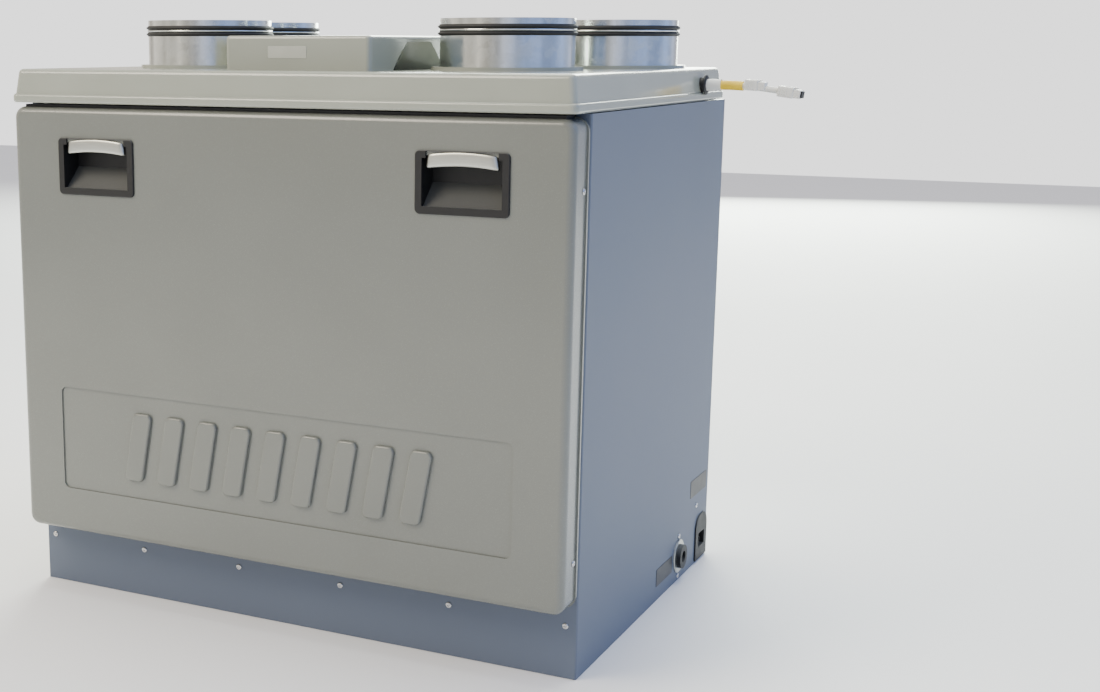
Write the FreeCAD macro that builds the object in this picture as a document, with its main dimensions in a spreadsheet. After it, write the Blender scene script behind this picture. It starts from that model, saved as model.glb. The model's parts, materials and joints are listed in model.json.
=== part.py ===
import FreeCAD, Part
import math
import os
import re
import Sketcher

# Heat recovery unit: a floor-standing cabinet with four duct spigots on top and a pull-off front door.
# Frame: +Z up, front towards -Y, origin at the middle of the footprint on the floor. Millimetres.

Vector = FreeCAD.Vector

SIZES = {
    # cabinet shell
    "cabinet_width": 750,
    "plenum_depth": 237,
    "panel_height": 633,
    "sheet": 1.5,
    "thin_sheet": 1.2,
    "flange_width": 18,
    "bend_radius": 2.5,
    "plinth_height": 118,
    "plinth_return": 20,
    "pan_height": 75,
    "pan_flange": 25,
    "deck_flange": 30,
    "foam": 25,
    "front_gap": 12,
    # fasteners
    "screw_radius": 2,
    "screw_play": 0.25,
    "screw_head": 4,
    "head_height": 1.8,
    "screw_length": 9,
    "plinth_screw_pitch": 144.4,
    "plinth_screw_level": 62,
    # lid
    "lid_overhang": 42,
    "lid_inset": 1.5,
    "lid_seat": 1,
    "lid_bead": 11,
    "lid_step": 1.5,
    "lid_rise": 30,
    "lid_wall": 3.5,
    "lid_corner": 9,
    "bead_edge": 4,
    "bead_foot": 3,
    "lid_edge": 6,
    "lid_taper": 7,
    "pad_reach": 10.2,
    "pad_rise": 4,
    "cover_half": 98,
    "cover_front": 25,
    "cover_back": 440,
    "cover_rise": 40,
    "cover_edge": 6,
    "relief_y": 153,
    "relief_low": 131,
    "relief_high": 115.5,
    "relief_rise": 33,
    "lid_post": 8,
    # spigots
    "spigot_radius": 79.8,
    "spigot_wall": 1.8,
    "spigot_height": 102,
    "flange_reach": 12.2,
    "spigot_front_x": 209,
    "spigot_back_x": 264.5,
    "spigot_front_y": 163,
    "spigot_back_y": 386,
    "groove_depth": 0.8,
    "groove_width": 13,
    "groove_drop": 7,
    "seal_lip": 2.8,
    "spigot_gap": 0.5,
    "way_gap": 3,
    # door
    "door_stand": 41,
    "door_inset": 3,
    "door_low": 86,
    "door_drop": 4,
    "door_wall": 3.5,
    "door_rim": 2,
    "door_gap": 2,
    "door_corner": 14,
    "door_edge": 9,
    "recess_border": 62,
    "recess_low": 144,
    "recess_high": 277,
    "recess_depth": 2,
    "rib_pitch": 48,
    "rib_width": 27,
    "rib_height": 88,
    "rib_slant": 16,
    "rib_rise": 5,
    "backing_flange": 14,
    "gasket_width": 12,
    "strip_height": 3,
    # handles
    "handle_width": 112,
    "handle_height": 69.5,
    "handle_x": 244.5,
    "handle_drop": 71.5,
    "handle_proud": 2.5,
    "handle_depth": 29.5,
    "handle_border": 5.5,
    "handle_fit": 0.4,
    "handle_wall": 2.5,
    "grip_inset": 13,
    "grip_height": 20,
    "grip_depth": 8,
    # exchanger
    "core_level": 330,
    "core_flat": 90,
    "core_run": 120,
    "core_rise": 150,
    "core_start": 32,
    "core_length": 240,
    "cap_thickness": 8,
    "core_gap": 1,
    "core_end": 13,
    "divider_offset": 145,
    "divider_thickness": 15,
    # filters
    "filter_gap": 6,
    "filter_end": 4,
    "filter_length": 184,
    "filter_less": 2,
    "filter_thickness": 30,
    "filter_border": 8,
    "rail_sheet": 1.5,
    "rail_gap": 0.6,
    # fans
    "fan_x": 250,
    "fan_z": 215,
    "fan_inlet": 46,
    "scroll_radius": 88,
    "scroll_depth": 120,
    "scroll_wall": 2.5,
    "outlet_rise": 135,
    "impeller_radius": 66,
    "impeller_depth": 60,
    "impeller_gap": 10,
    "blade_count": 30,
    "hub_radius": 14,
    "shaft_radius": 4,
    "running_fit": 0.05,
    "motor_radius": 38,
    "motor_length": 48,
    # bypass
    "bypass_half": 44,
    "bypass_drop": 47,
    "bypass_height": 58,
    "bypass_border": 7,
    "flap_thickness": 2,
    "flap_axis": 12,
    "flap_shaft": 3,
    "flap_gap": 0.6,
    # condensate
    "tray_inset": 75,
    "tray_height": 28,
    "hose_radius": 10,
    "drain_y": 388,
    "drain_z": 34,
    "drain_radius": 16,
    "drain_hole": 20.5,
    "drain_proud": 8,
    "drain_screw": 27.5,
    # mains inlet
    "inlet_y": 491.5,
    "inlet_half": 26,
    "inlet_low": 3,
    "inlet_high": 66,
    "inlet_depth": 26,
    "socket_half": 13.8,
    "socket_height": 20,
    "socket_depth": 18,
    # control board
    "board_inset": 18,
    "board_start": 60,
    "board_end": 330,
    "board_lift": 10,
    "board_thickness": 1.6,
    # flying lead
    "lead_y": 424,
    "lead_rise": 20,
    "lead_radius": 4,
    "sleeve_radius": 7.5,
    "sleeve_length": 18,
    "band_radius": 6,
    "band_length": 28,
    "joiner_gap": 2,
    "joiner_length": 28,
    "plug_width": 18,
    "plug_height": 15,
    "plug_length": 32,
}

# sizes that follow from the ones above
DERIVED = {
    "cabinet_depth": "(core_start + core_length + core_end + plenum_depth)",
    "screw_hole": "(screw_radius + screw_play)",
    "lid_level": "(panel_height + lid_seat)",
    "lead_z": "(panel_height + lid_seat + lead_rise)",
    "spigot_flange": "(spigot_radius + flange_reach)",
    "pad_radius": "(spigot_radius + pad_reach)",
    "groove_low": "(spigot_height - groove_drop - groove_width)",
    "groove_high": "(spigot_height - groove_drop)",
    "door_half": "(cabinet_width / 2 - door_inset)",
    "door_high": "(panel_height - door_drop)",
    "handle_z": "(panel_height - door_drop - handle_drop)",
    "grip_half": "(handle_width / 2 - grip_inset)",
    "recess_half": "(cabinet_width / 2 - door_inset - recess_border)",
    "partition_start": "(core_start + core_length + core_end)",
    "filter_depth": "(core_length - filter_less)",
    "bypass_high": "(panel_height - bypass_drop)",
    "bypass_low": "(panel_height - bypass_drop - bypass_height)",
    "tray_half": "(cabinet_width / 2 - tray_inset)",
    "board_half": "(cover_half - board_inset)",
}

FRONT = "((lid_overhang - cabinet_depth) / 2)"
REAR = "((lid_overhang + cabinet_depth) / 2)"
HALF = "(cabinet_width / 2)"
INNER = "(cabinet_width / 2 - sheet)"
LINED = "(cabinet_width / 2 - sheet - foam)"
INNER_FRONT = "(%s + sheet)" % FRONT
INNER_REAR = "(%s - sheet - thin_sheet)" % REAR
CEILING = "(panel_height - thin_sheet)"
LINED_CEILING = "(panel_height - thin_sheet - foam)"
LINER_BACK = "(%s - thin_sheet)" % INNER_REAR
LINED_REAR = "(%s - foam)" % LINER_BACK
PARTITION = "(%s + partition_start)" % FRONT
PLENUM = "(%s + thin_sheet)" % PARTITION
DOOR_FACE = "(%s - door_stand)" % FRONT
DOOR_BACK = "(%s - door_gap)" % FRONT
LID_TOP = "(lid_level + lid_bead + lid_rise)"
CORE_TOP = "(core_level + core_rise)"
CORE_TIP = "(core_flat + core_run)"
SLOPE = "sqrt(core_run^2 + core_rise^2)"
LEAD = ("cabinet_width / 2 - lid_inset", FRONT + " + lead_y", "lead_z")
BORE = "(spigot_radius - spigot_wall)"
SPIGOTS = {
    "extract": ("-spigot_front_x", FRONT + " + spigot_front_y"),
    "outdoor": ("spigot_front_x", FRONT + " + spigot_front_y"),
    "supply": ("-spigot_back_x", FRONT + " + spigot_back_y"),
    "exhaust": ("spigot_back_x", FRONT + " + spigot_back_y"),
}
SPOUT = ("(tray_half - 50)", "(%s + 255)" % FRONT)

doc = FreeCAD.newDocument("HeatRecoveryUnit")
sheet = doc.addObject("Spreadsheet::Sheet", "Sizes")
for row, (word, amount) in enumerate(SIZES.items(), start=1):
    sheet.set("A%d" % row, word)
    sheet.set("B%d" % row, str(amount))
    sheet.setAlias("B%d" % row, word)
doc.recompute()

parts = {}


def swapped(text, form):
    """The expression with each size's name replaced by what form makes of it."""
    text = re.sub(r"[a-z]\w+", lambda m: DERIVED.get(m.group(), m.group()), text)
    return re.sub(r"[a-z]\w+", lambda m: form(m.group()) if m.group() in SIZES else m.group(), text)


def tied(text):
    return swapped(text, lambda word: "Sizes." + word)


def number(text):
    """The value that an expression of sizes has now."""
    return FreeCAD.Units.parseQuantity(swapped(text, lambda word: repr(float(SIZES[word])))).Value


def tie(item, prop, text):
    item.setExpression(prop, tied(text))


def place(item, x="0", y="0", z="0"):
    for axis, text in zip("xyz", (x, y, z)):
        tie(item, "Placement.Base." + axis, text)
    return item


def part(item, label):
    """Names an object as a sub-part of the unit."""
    item.Label = label
    parts[label] = item
    return item


shared = {}


def share(item, label):
    """Adds an object to a sub-part made of several separate pieces."""
    shared.setdefault(label, []).append(item)
    return item


def block(name, x0, x1, y0, y1, z0, z1):
    box = doc.addObject("Part::Box", name)
    tie(box, "Length", "(%s) - (%s)" % (x1, x0))
    tie(box, "Width", "(%s) - (%s)" % (y1, y0))
    tie(box, "Height", "(%s) - (%s)" % (z1, z0))
    return place(box, x0, y0, z0)


TURNS = {"x": (Vector(0, 1, 0), 90), "y": (Vector(1, 0, 0), -90), "z": (Vector(0, 0, 1), 0)}


def rod(name, axis, x, y, z, radius, length):
    """A cylinder that starts at x, y, z and runs along +axis."""
    cylinder = doc.addObject("Part::Cylinder", name)
    tie(cylinder, "Radius", radius)
    tie(cylinder, "Height", length)
    cylinder.Placement = FreeCAD.Placement(Vector(), FreeCAD.Rotation(*TURNS[axis]))
    return place(cylinder, x, y, z)


def joined(name, *items):
    fusion = doc.addObject("Part::MultiFuse", name)
    fusion.Shapes = list(items)
    return fusion


def less(name, base, *tools):
    cut = doc.addObject("Part::Cut", name)
    cut.Base = base
    cut.Tool = tools[0] if len(tools) == 1 else joined(name + "Tools", *tools)
    return cut


def group(name, items):
    """Several separate solids as one sub-part, such as a set of screws."""
    compound = doc.addObject("Part::Compound", name)
    compound.Links = list(items)
    return compound


def body(name):
    return doc.addObject("PartDesign::Body", name)


def sketch(owner, name, plane, depth="0"):
    """A sketch on one of the body's own origin planes, at a depth along the world axis that crosses it."""
    drawn = owner.newObject("Sketcher::SketchObject", name)
    origin = [f for f in owner.Origin.OriginFeatures if f.Role == plane + "_Plane"][0]
    drawn.AttachmentSupport = [(origin, "")]
    drawn.MapMode = "FlatFace"
    along = "-(%s)" % depth if plane == "XZ" else depth
    tie(drawn, "AttachmentOffset.Base.z", along)
    return drawn


def fix(drawn, kind, geometry, point, text):
    """Ties one coordinate of a point to an expression."""
    constraint = Sketcher.Constraint(kind, -1, 1, geometry, point, number(text))
    index = drawn.addConstraint(constraint)
    drawn.setExpression("Constraints[%d]" % index, tied(text))


def outline(drawn, points):
    """A closed polygon whose corners are pairs of expressions."""
    places = [Vector(number(x), number(y), 0) for x, y in points]
    first = drawn.GeometryCount
    count = len(points)
    for i in range(count):
        drawn.addGeometry(Part.LineSegment(places[i], places[(i + 1) % count]), False)
    for i in range(count):
        drawn.addConstraint(
            Sketcher.Constraint("Coincident", first + i, 2, first + (i + 1) % count, 1)
        )
    for i, (x, y) in enumerate(points):
        fix(drawn, "DistanceX", first + i, 1, x)
        fix(drawn, "DistanceY", first + i, 1, y)
    return drawn


def rectangle(drawn, x0, y0, x1, y1):
    return outline(drawn, [(x0, y0), (x1, y0), (x1, y1), (x0, y1)])


def circle(drawn, x, y, radius):
    index = drawn.addGeometry(
        Part.Circle(Vector(number(x), number(y), 0), Vector(0, 0, 1), number(radius)), False
    )
    fix(drawn, "DistanceX", index, 3, x)
    fix(drawn, "DistanceY", index, 3, y)
    constraint = drawn.addConstraint(Sketcher.Constraint("Radius", index, number(radius)))
    drawn.setExpression("Constraints[%d]" % constraint, tied(radius))
    return drawn


def pad(owner, name, drawn, length, back=False, middle=False, taper=None):
    made = owner.newObject("PartDesign::Pad", name)
    made.Profile = drawn
    made.Reversed = back
    made.Midplane = middle
    tie(made, "Length", length)
    if taper:
        tie(made, "TaperAngle", taper)
    doc.recompute()
    return made


def pocket(owner, name, drawn, length, back=False, middle=False):
    before = owner.Shape.Volume
    made = owner.newObject("PartDesign::Pocket", name)
    made.Profile = drawn
    made.Reversed = back
    made.Midplane = middle
    tie(made, "Length", length)
    doc.recompute()
    if owner.Shape.Volume > before - 0.01:
        raise RuntimeError(name + " cuts nothing")
    return made


def turned(owner, name, drawn):
    """A full revolution about the sketch's vertical axis."""
    made = owner.newObject("PartDesign::Revolution", name)
    made.Profile = drawn
    made.ReferenceAxis = (drawn, ["V_Axis"])
    made.Angle = 360
    doc.recompute()
    return made


def rounded(owner, name, chosen, radius):
    """A fillet on the edges of the body's last feature that the test picks."""
    base = owner.Tip
    names = ["Edge%d" % (i + 1) for i, edge in enumerate(base.Shape.Edges) if chosen(edge)]
    if not names:
        raise RuntimeError(name + " finds no edge")
    made = owner.newObject("PartDesign::Fillet", name)
    made.Base = (base, names)
    tie(made, "Radius", radius)
    doc.recompute()
    return made


def runs_along(edge, axis):
    ends = [v.Point for v in edge.Vertexes]
    if len(ends) < 2 or edge.Curve.TypeId != "Part::GeomLine":
        return False
    way = ends[1].sub(ends[0])
    return abs(getattr(way, axis)) > 0.9 * way.Length


def at_level(edge, axis, text):
    """True if the whole edge lies at that level of the axis."""
    want = number(text)
    return all(
        abs(getattr(edge.valueAt(t), axis) - want) < 0.01 for t in (edge.FirstParameter, edge.LastParameter)
    )


def screw(name, axis, way, spot):
    """A pan-head screw. Its shank runs from the spot along the axis, with way 1 or -1."""
    index = "xyz".index(axis)
    shank_start, head_start = list(spot), list(spot)
    if way > 0:
        head_start[index] = "(%s) - head_height" % spot[index]
    else:
        shank_start[index] = "(%s) - screw_length" % spot[index]
    shank = rod(name + "Shank", axis, *shank_start, "screw_radius", "screw_length")
    head = rod(name + "Head", axis, *head_start, "screw_head", "head_height")
    return joined(name, shank, head)


# ---------------------------------------------------------------- cabinet shell


def side_panel(side):
    """A folded sheet that reaches the floor. Side is -1 for the left one and 1 for the right one."""
    label = "side_panel_left" if side < 0 else "side_panel_right"
    owner = part(body("SidePanelLeft" if side < 0 else "SidePanelRight"), label)
    sign = "-" if side < 0 else ""
    outer = sign + HALF
    inner = sign + INNER
    lip = "%s(cabinet_width / 2 - flange_width)" % sign
    drawn = sketch(owner, label + "_section", "XY")
    outline(
        drawn,
        [
            (outer, FRONT),
            (lip, FRONT),
            (lip, INNER_FRONT),
            (inner, INNER_FRONT),
            (inner, REAR + " - sheet"),
            (lip, REAR + " - sheet"),
            (lip, REAR),
            (outer, REAR),
        ],
    )
    pad(owner, label + "_sheet", drawn, "panel_height")
    edge_x = number(outer)
    rounded(
        owner,
        label + "_bends",
        lambda e: runs_along(e, "z") and abs(e.CenterOfMass.x - edge_x) < 0.01,
        "bend_radius",
    )
    notch = sketch(owner, label + "_notch", "XZ", FRONT)
    rectangle(notch, inner, "0", lip, "plinth_height + 1")
    pocket(owner, label + "_notched", notch, "sheet")
    if side > 0:
        side_openings(owner)


def side_openings(owner):
    """The drain, mains inlet and screw openings low on the right panel."""
    drawn = sketch(owner, "side_cut_outs", "YZ", HALF)
    circle(drawn, FRONT + " + drain_y", "drain_z", "drain_hole")
    for x, z in SIDE_SCREWS:
        circle(drawn, x, z, "screw_hole")
    reach = "(inlet_half - 2)"
    middle = "(%s + inlet_y)" % FRONT
    rectangle(
        drawn,
        "%s - %s" % (middle, reach),
        "inlet_low + 2",
        "%s + %s" % (middle, reach),
        "inlet_high - 10",
    )
    pocket(owner, "side_cut", drawn, "sheet")


SIDE_SCREWS = [
    (FRONT + " + drain_y", "drain_z + drain_screw"),
    (FRONT + " + drain_y", "drain_z - drain_screw"),
    (FRONT + " + inlet_y - inlet_half", "inlet_high + 18"),
]


def rear_panel():
    plate = block("RearPanel", "-" + INNER, INNER, INNER_REAR, REAR + " - sheet", "0", "panel_height")
    part(plate, "rear_panel")


def plinth_panel():
    owner = part(body("PlinthPanel"), "plinth_panel")
    sheet_sketch = sketch(owner, "plinth_face", "XZ", FRONT)
    rectangle(sheet_sketch, "-" + INNER, "0", INNER, "plinth_height")
    pad(owner, "plinth_sheet", sheet_sketch, "sheet", back=True)
    fold = sketch(owner, "plinth_fold", "XZ", FRONT)
    lip = "(cabinet_width / 2 - sheet - foam - 1)"
    rectangle(fold, "-" + lip, "plinth_height - sheet", lip, "plinth_height")
    pad(owner, "plinth_return_lip", fold, "plinth_return", back=True)
    holes = sketch(owner, "plinth_holes", "XZ", FRONT)
    for i in range(6):
        circle(holes, "plinth_screw_pitch * %.1f" % (i - 2.5), "plinth_screw_level", "screw_hole")
    pocket(owner, "plinth_drilled", holes, "sheet")


def channel(name, label, low, high, flange_low, inner=INNER):
    """A plate with a folded flange at its front and rear edges, made across the whole cabinet."""
    owner = part(body(name), label)
    drawn = sketch(owner, label + "_section", "YZ")
    thin = "thin_sheet"
    outline(
        drawn,
        [
            (INNER_FRONT, flange_low),
            ("%s + %s" % (INNER_FRONT, thin), flange_low),
            ("%s + %s" % (INNER_FRONT, thin), low),
            ("%s - %s" % (INNER_REAR, thin), low),
            ("%s - %s" % (INNER_REAR, thin), flange_low),
            (INNER_REAR, flange_low),
            (INNER_REAR, high),
            (INNER_FRONT, high),
        ],
    )
    pad(owner, label + "_plate", drawn, "2 * " + inner, middle=True)
    return owner


def base_pan():
    owner = channel("BasePan", "base_pan", "pan_height - thin_sheet", "pan_height", "pan_height - pan_flange")
    holes = sketch(owner, "base_pan_holes", "XZ", INNER_FRONT)
    for i in range(6):
        circle(holes, "plinth_screw_pitch * %.1f" % (i - 2.5), "plinth_screw_level", "screw_hole")
    pocket(owner, "base_pan_drilled", holes, "thin_sheet")
    spout = sketch(owner, "base_pan_spout_hole", "XY", "pan_height")
    circle(spout, SPOUT[0], SPOUT[1], "hose_radius + 1")
    pocket(owner, "base_pan_spout_cut", spout, "thin_sheet")


def top_deck():
    owner = channel("TopDeck", "top_deck", CEILING, "panel_height", "panel_height - deck_flange")
    holes = sketch(owner, "top_deck_holes", "XY", "panel_height")
    for x, y in SPIGOTS.values():
        circle(holes, x, y, BORE + " + way_gap / 2")
    pocket(owner, "top_deck_cut", holes, "thin_sheet")


def liners():
    """Foam slabs that line the air space."""
    low = "pan_height"
    start = "%s + front_gap" % FRONT
    for side, name in ((-1, "left"), (1, "right")):
        x0, x1 = ("-" + INNER, "-" + LINED) if side < 0 else (LINED, INNER)
        slab = block("Liner" + name.title(), x0, x1, start, LINER_BACK, low, CEILING)
        room = rod("LinerScrewRoom" + name.title(), "x", LINED, *SIDE_SCREWS[2], "screw_hole", "foam + 2")
        share(less("LinerDrilled" + name.title(), slab, room) if side > 0 else slab, "side_liners")
    rear = block("LinerRear", "-" + LINED, LINED, LINED_REAR, LINER_BACK, low, LINED_CEILING)
    part(rear, "liner_rear")
    slab = block("LinerTopSlab", "-" + LINED, LINED, start, LINER_BACK, LINED_CEILING, CEILING)
    ways = [
        rod("LinerTopWay" + name.title(), "z", x, y, LINED_CEILING + " - 1", BORE + " + way_gap", "foam + 2")
        for name, (x, y) in SPIGOTS.items()
    ]
    part(less("LinerTop", slab, *ways), "liner_top")


# ---------------------------------------------------------------- lid and spigots


def lid_block(name, inset, base, top_edge):
    """The lid's outer or inner form: a bead round its foot and a drafted wall with a rounded top edge."""
    half = "(cabinet_width / 2 - lid_inset - %s)" % inset
    front = "(%s - lid_overhang + %s)" % (FRONT, inset)
    rear = "(%s - %s)" % (REAR, inset)
    bead_top = "(lid_level + lid_bead - %s)" % inset
    wall_top = "(%s - %s)" % (LID_TOP, inset)
    bead = body(name + "Bead")
    drawn = sketch(bead, name + "_bead", "XY", base)
    rectangle(drawn, "-" + half, front, half, rear)
    pad(bead, name + "_bead_pad", drawn, "%s - (%s)" % (bead_top, base))
    rounded(bead, name + "_bead_corners", lambda e: runs_along(e, "z"), "lid_corner - " + inset)
    if inset == "0":
        rounded(bead, name + "_bead_edge", lambda e: at_level(e, "z", bead_top), "bead_edge")
        rounded(bead, name + "_bead_foot", lambda e: at_level(e, "z", base), "bead_foot")
    wall = body(name + "Wall")
    drawn = sketch(wall, name + "_wall", "XY", base)
    rectangle(
        drawn,
        "-(%s - lid_step)" % half,
        front + " + lid_step",
        half + " - lid_step",
        rear + " - lid_step",
    )
    pad(wall, name + "_wall_pad", drawn, "%s - (%s)" % (wall_top, base), taper="-lid_taper")
    low, high = number(base), number(wall_top)

    def corner(edge):
        levels = sorted(v.Z for v in edge.Vertexes)
        return len(levels) == 2 and abs(levels[0] - low) < 0.01 and abs(levels[1] - high) < 0.01

    rounded(wall, name + "_wall_corners", corner, "lid_corner - lid_step - " + inset)
    rounded(wall, name + "_wall_edge", lambda e: at_level(e, "z", wall_top), top_edge)
    return joined(name, bead, wall), wall_top


def lid_cover():
    """The moulded top, its raised electrics cover and the pads that the spigots pass through."""
    outer, top = lid_block("LidOuter", "0", "lid_level", "lid_edge")
    inner, inner_top = lid_block("LidInner", "lid_wall", "lid_level - 1", "lid_edge - lid_wall")
    reliefs = []
    for side in ("-", ""):
        for inset in ("0", "lid_wall"):
            cone = doc.addObject("Part::Cone", "Relief")
            tie(cone, "Radius1", "relief_low + " + inset)
            tie(cone, "Radius2", "relief_high + " + inset)
            tie(cone, "Height", "relief_rise")
            place(cone, side + "spigot_front_x", FRONT + " + relief_y", top)
            reliefs.append(cone)
    raised = body("RaisedCover")
    base = sketch(raised, "raised_cover_base", "XY", top + " - 2")
    front = "(%s + cover_front)" % FRONT
    back = "(%s + cover_back)" % FRONT
    rectangle(base, "-cover_half", front, "cover_half", back)
    pad(raised, "raised_cover_pad", base, "cover_rise + 2")
    rounded(raised, "raised_cover_corners", lambda e: runs_along(e, "z"), "cover_edge")
    rounded(raised, "raised_cover_edge", lambda e: at_level(e, "z", top + " + cover_rise"), "cover_edge - 2")
    raised_cut = less("RaisedCoverRelieved", raised, reliefs[0], reliefs[2])
    room = block(
        "CoverRoom",
        "-(cover_half - lid_wall)",
        "cover_half - lid_wall",
        front + " + lid_wall",
        back + " - lid_wall",
        inner_top + " - 2",
        top + " + cover_rise - lid_wall",
    )
    room_cut = less("CoverRoomRelieved", room, reliefs[1], reliefs[3])
    pads = [
        rod("LidPad" + name.title(), "z", x, y, top + " - 1", "pad_radius", "pad_rise + 1")
        for name, (x, y) in SPIGOTS.items()
    ]
    form = joined("LidForm", outer, raised_cut, *pads)
    ways = [
        rod("LidWay" + name.title(), "z", x, y, top + " - 20", "spigot_radius + spigot_gap", "60")
        for name, (x, y) in SPIGOTS.items()
    ]
    hole = rod("LeadHole", "x", HALF + " - 40", LEAD[1], LEAD[2], "sleeve_radius + 2", "50")
    shell = less("LidShell", form, inner, room_cut, hole, *ways)
    posts = [
        rod("LidPost%d" % i, "z", x, y, "panel_height", "lid_post", inner_top + " - panel_height")
        for i, (x, y) in enumerate(LID_POSTS)
    ]
    part(joined("LidCover", shell, *posts), "lid_cover")


LID_POSTS = [
    ("-(cabinet_width / 2 - 30)", FRONT + " + 25"),
    ("cabinet_width / 2 - 30", FRONT + " + 25"),
    ("-(cabinet_width / 2 - 30)", REAR + " - 30"),
    ("cabinet_width / 2 - 30", REAR + " - 30"),
]


def spigot(name, x, y):
    owner = part(body("Spigot" + name.title()), "spigot_" + name)
    drawn = sketch(owner, "spigot_%s_section" % name, "XZ")
    outline(
        drawn,
        [
            (BORE, "0"),
            ("spigot_flange", "0"),
            ("spigot_flange", "thin_sheet"),
            ("spigot_radius", "thin_sheet"),
            ("spigot_radius", "groove_low"),
            ("spigot_radius - groove_depth", "groove_low"),
            ("spigot_radius - groove_depth", "groove_high"),
            ("spigot_radius", "groove_high"),
            ("spigot_radius", "spigot_height"),
            (BORE, "spigot_height"),
        ],
    )
    turned(owner, "spigot_%s_turned" % name, drawn)
    place(owner, x, y, "panel_height")


def spigot_seals():
    """Rubber rings with two lips, one in each spigot's groove."""
    rings = []
    for name, (x, y) in SPIGOTS.items():
        owner = body("Seal" + name.title())
        drawn = sketch(owner, "seal_%s_section" % name, "XZ")
        root = "spigot_radius - groove_depth"
        lip = "spigot_radius + seal_lip"
        outline(
            drawn,
            [
                (root, "groove_low"),
                ("spigot_radius + 0.6", "groove_low"),
                (lip, "groove_low + 2.2"),
                (lip, "groove_low + 3.6"),
                ("spigot_radius + 0.4", "groove_low + 5.2"),
                ("spigot_radius + 0.4", "groove_low + 6.6"),
                (lip, "groove_low + 9.0"),
                (lip, "groove_low + 10.4"),
                ("spigot_radius + 0.6", "groove_high"),
                (root, "groove_high"),
            ],
        )
        turned(owner, "seal_%s_turned" % name, drawn)
        rings.append(place(owner, x, y, "panel_height"))
    part(group("SpigotSeals", rings), "spigot_seals")


# ---------------------------------------------------------------- door


def door_block(name, inset, back, edge):
    """The door's outer or inner form: a shallow box with rounded face edges."""
    owner = body(name)
    half = "(door_half - %s)" % inset
    low = "(door_low + %s)" % inset
    high = "(door_high - %s)" % inset
    face = "(%s + %s)" % (DOOR_FACE, inset)
    base = sketch(owner, name + "_outline", "XZ", back)
    rectangle(base, "-" + half, low, half, high)
    pad(owner, name + "_pad", base, "(%s) - %s" % (back, face))
    rounded(owner, name + "_corners", lambda e: runs_along(e, "y"), "door_corner - " + inset)
    rounded(owner, name + "_edges", lambda e: at_level(e, "y", face), edge)
    return owner


def door_shell():
    """The moulded door front with its rim, a shallow panel with slanted ribs, and two handle openings."""
    outer = door_block("DoorOuter", "0", DOOR_BACK, "door_edge")
    inner = door_block("DoorInner", "door_wall", DOOR_BACK + " + 1", "door_edge - door_wall")
    rim = body("DoorRim")
    drawn = sketch(rim, "door_rim_outline", "XZ", DOOR_BACK)
    rectangle(
        drawn,
        "-(door_half + door_rim)",
        "door_low - door_rim / 2",
        "door_half + door_rim",
        "door_high + door_rim / 2",
    )
    pad(rim, "door_rim_pad", drawn, "door_wall")
    rounded(rim, "door_rim_corners", lambda e: runs_along(e, "y"), "door_corner + door_rim")
    face = DOOR_FACE
    recess = body("DoorRecess")
    drawn = sketch(recess, "door_recess_outline", "XZ", face + " + recess_depth")
    rectangle(drawn, "-recess_half", "recess_low", "recess_half", "recess_high")
    pad(recess, "door_recess_pad", drawn, "recess_depth + 2")
    rounded(recess, "door_recess_corners", lambda e: runs_along(e, "y"), "8")
    behind = body("DoorRecessBack")
    drawn = sketch(behind, "door_recess_back_outline", "XZ", face + " + recess_depth + door_wall")
    rectangle(
        drawn,
        "-(recess_half + door_wall)",
        "recess_low - door_wall",
        "recess_half + door_wall",
        "recess_high + door_wall",
    )
    pad(behind, "door_recess_back_pad", drawn, "recess_depth + door_wall - 1")
    openings = [
        block(
            "HandleOpening%d" % i,
            "%shandle_x - (handle_width / 2 - handle_border)" % side,
            "%shandle_x + (handle_width / 2 - handle_border)" % side,
            face + " - 1",
            face + " + 10",
            "handle_z - (handle_height / 2 - handle_border)",
            "handle_z + (handle_height / 2 - handle_border)",
        )
        for i, side in enumerate(("-", ""))
    ]
    form = joined("DoorForm", outer, rim)
    hollow = less("DoorHollow", form, inner)
    backed = joined("DoorBacked", hollow, behind)
    shell = less("DoorPlain", backed, recess, *openings, *door_screw_holes())
    part(joined("DoorShell", shell, *door_ribs()), "door_shell")


def door_ribs():
    """Slanted bars that stand in the recessed panel."""
    ribs = []
    middle = "((recess_low + recess_high) / 2)"
    for i in range(9):
        owner = body("DoorRib%d" % i)
        centre = "rib_pitch * %d" % (i - 4)
        drawn = sketch(owner, "door_rib_outline_%d" % i, "XZ", DOOR_FACE + " + recess_depth")
        outline(
            drawn,
            [
                ("%s - rib_width / 2 - rib_slant / 2" % centre, middle + " - rib_height / 2"),
                ("%s + rib_width / 2 - rib_slant / 2" % centre, middle + " - rib_height / 2"),
                ("%s + rib_width / 2 + rib_slant / 2" % centre, middle + " + rib_height / 2"),
                ("%s - rib_width / 2 + rib_slant / 2" % centre, middle + " + rib_height / 2"),
            ],
        )
        pad(owner, "door_rib_pad_%d" % i, drawn, "rib_rise")
        level = number(DOOR_FACE + " + recess_depth - rib_rise")
        rounded(
            owner,
            "door_rib_corners_%d" % i,
            lambda e: runs_along(e, "y"),
            "rib_width / 4",
        )
        rounded(owner, "door_rib_edge_%d" % i, lambda e: abs(e.BoundBox.YMax - level) < 0.01, "rib_rise / 2")
        ribs.append(owner)
    return ribs


DOOR_SCREWS = [
    (side, FRONT + " - 12", z)
    for side in ("-", "")
    for z in ("door_low + 55", "door_high - 77")
]


def door_screw_holes():
    return [
        rod("DoorScrewHole%d" % i, "x", "%sdoor_half - 8" % side, y, z, "screw_hole", "16")
        for i, (side, y, z) in enumerate(DOOR_SCREWS)
    ]


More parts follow.
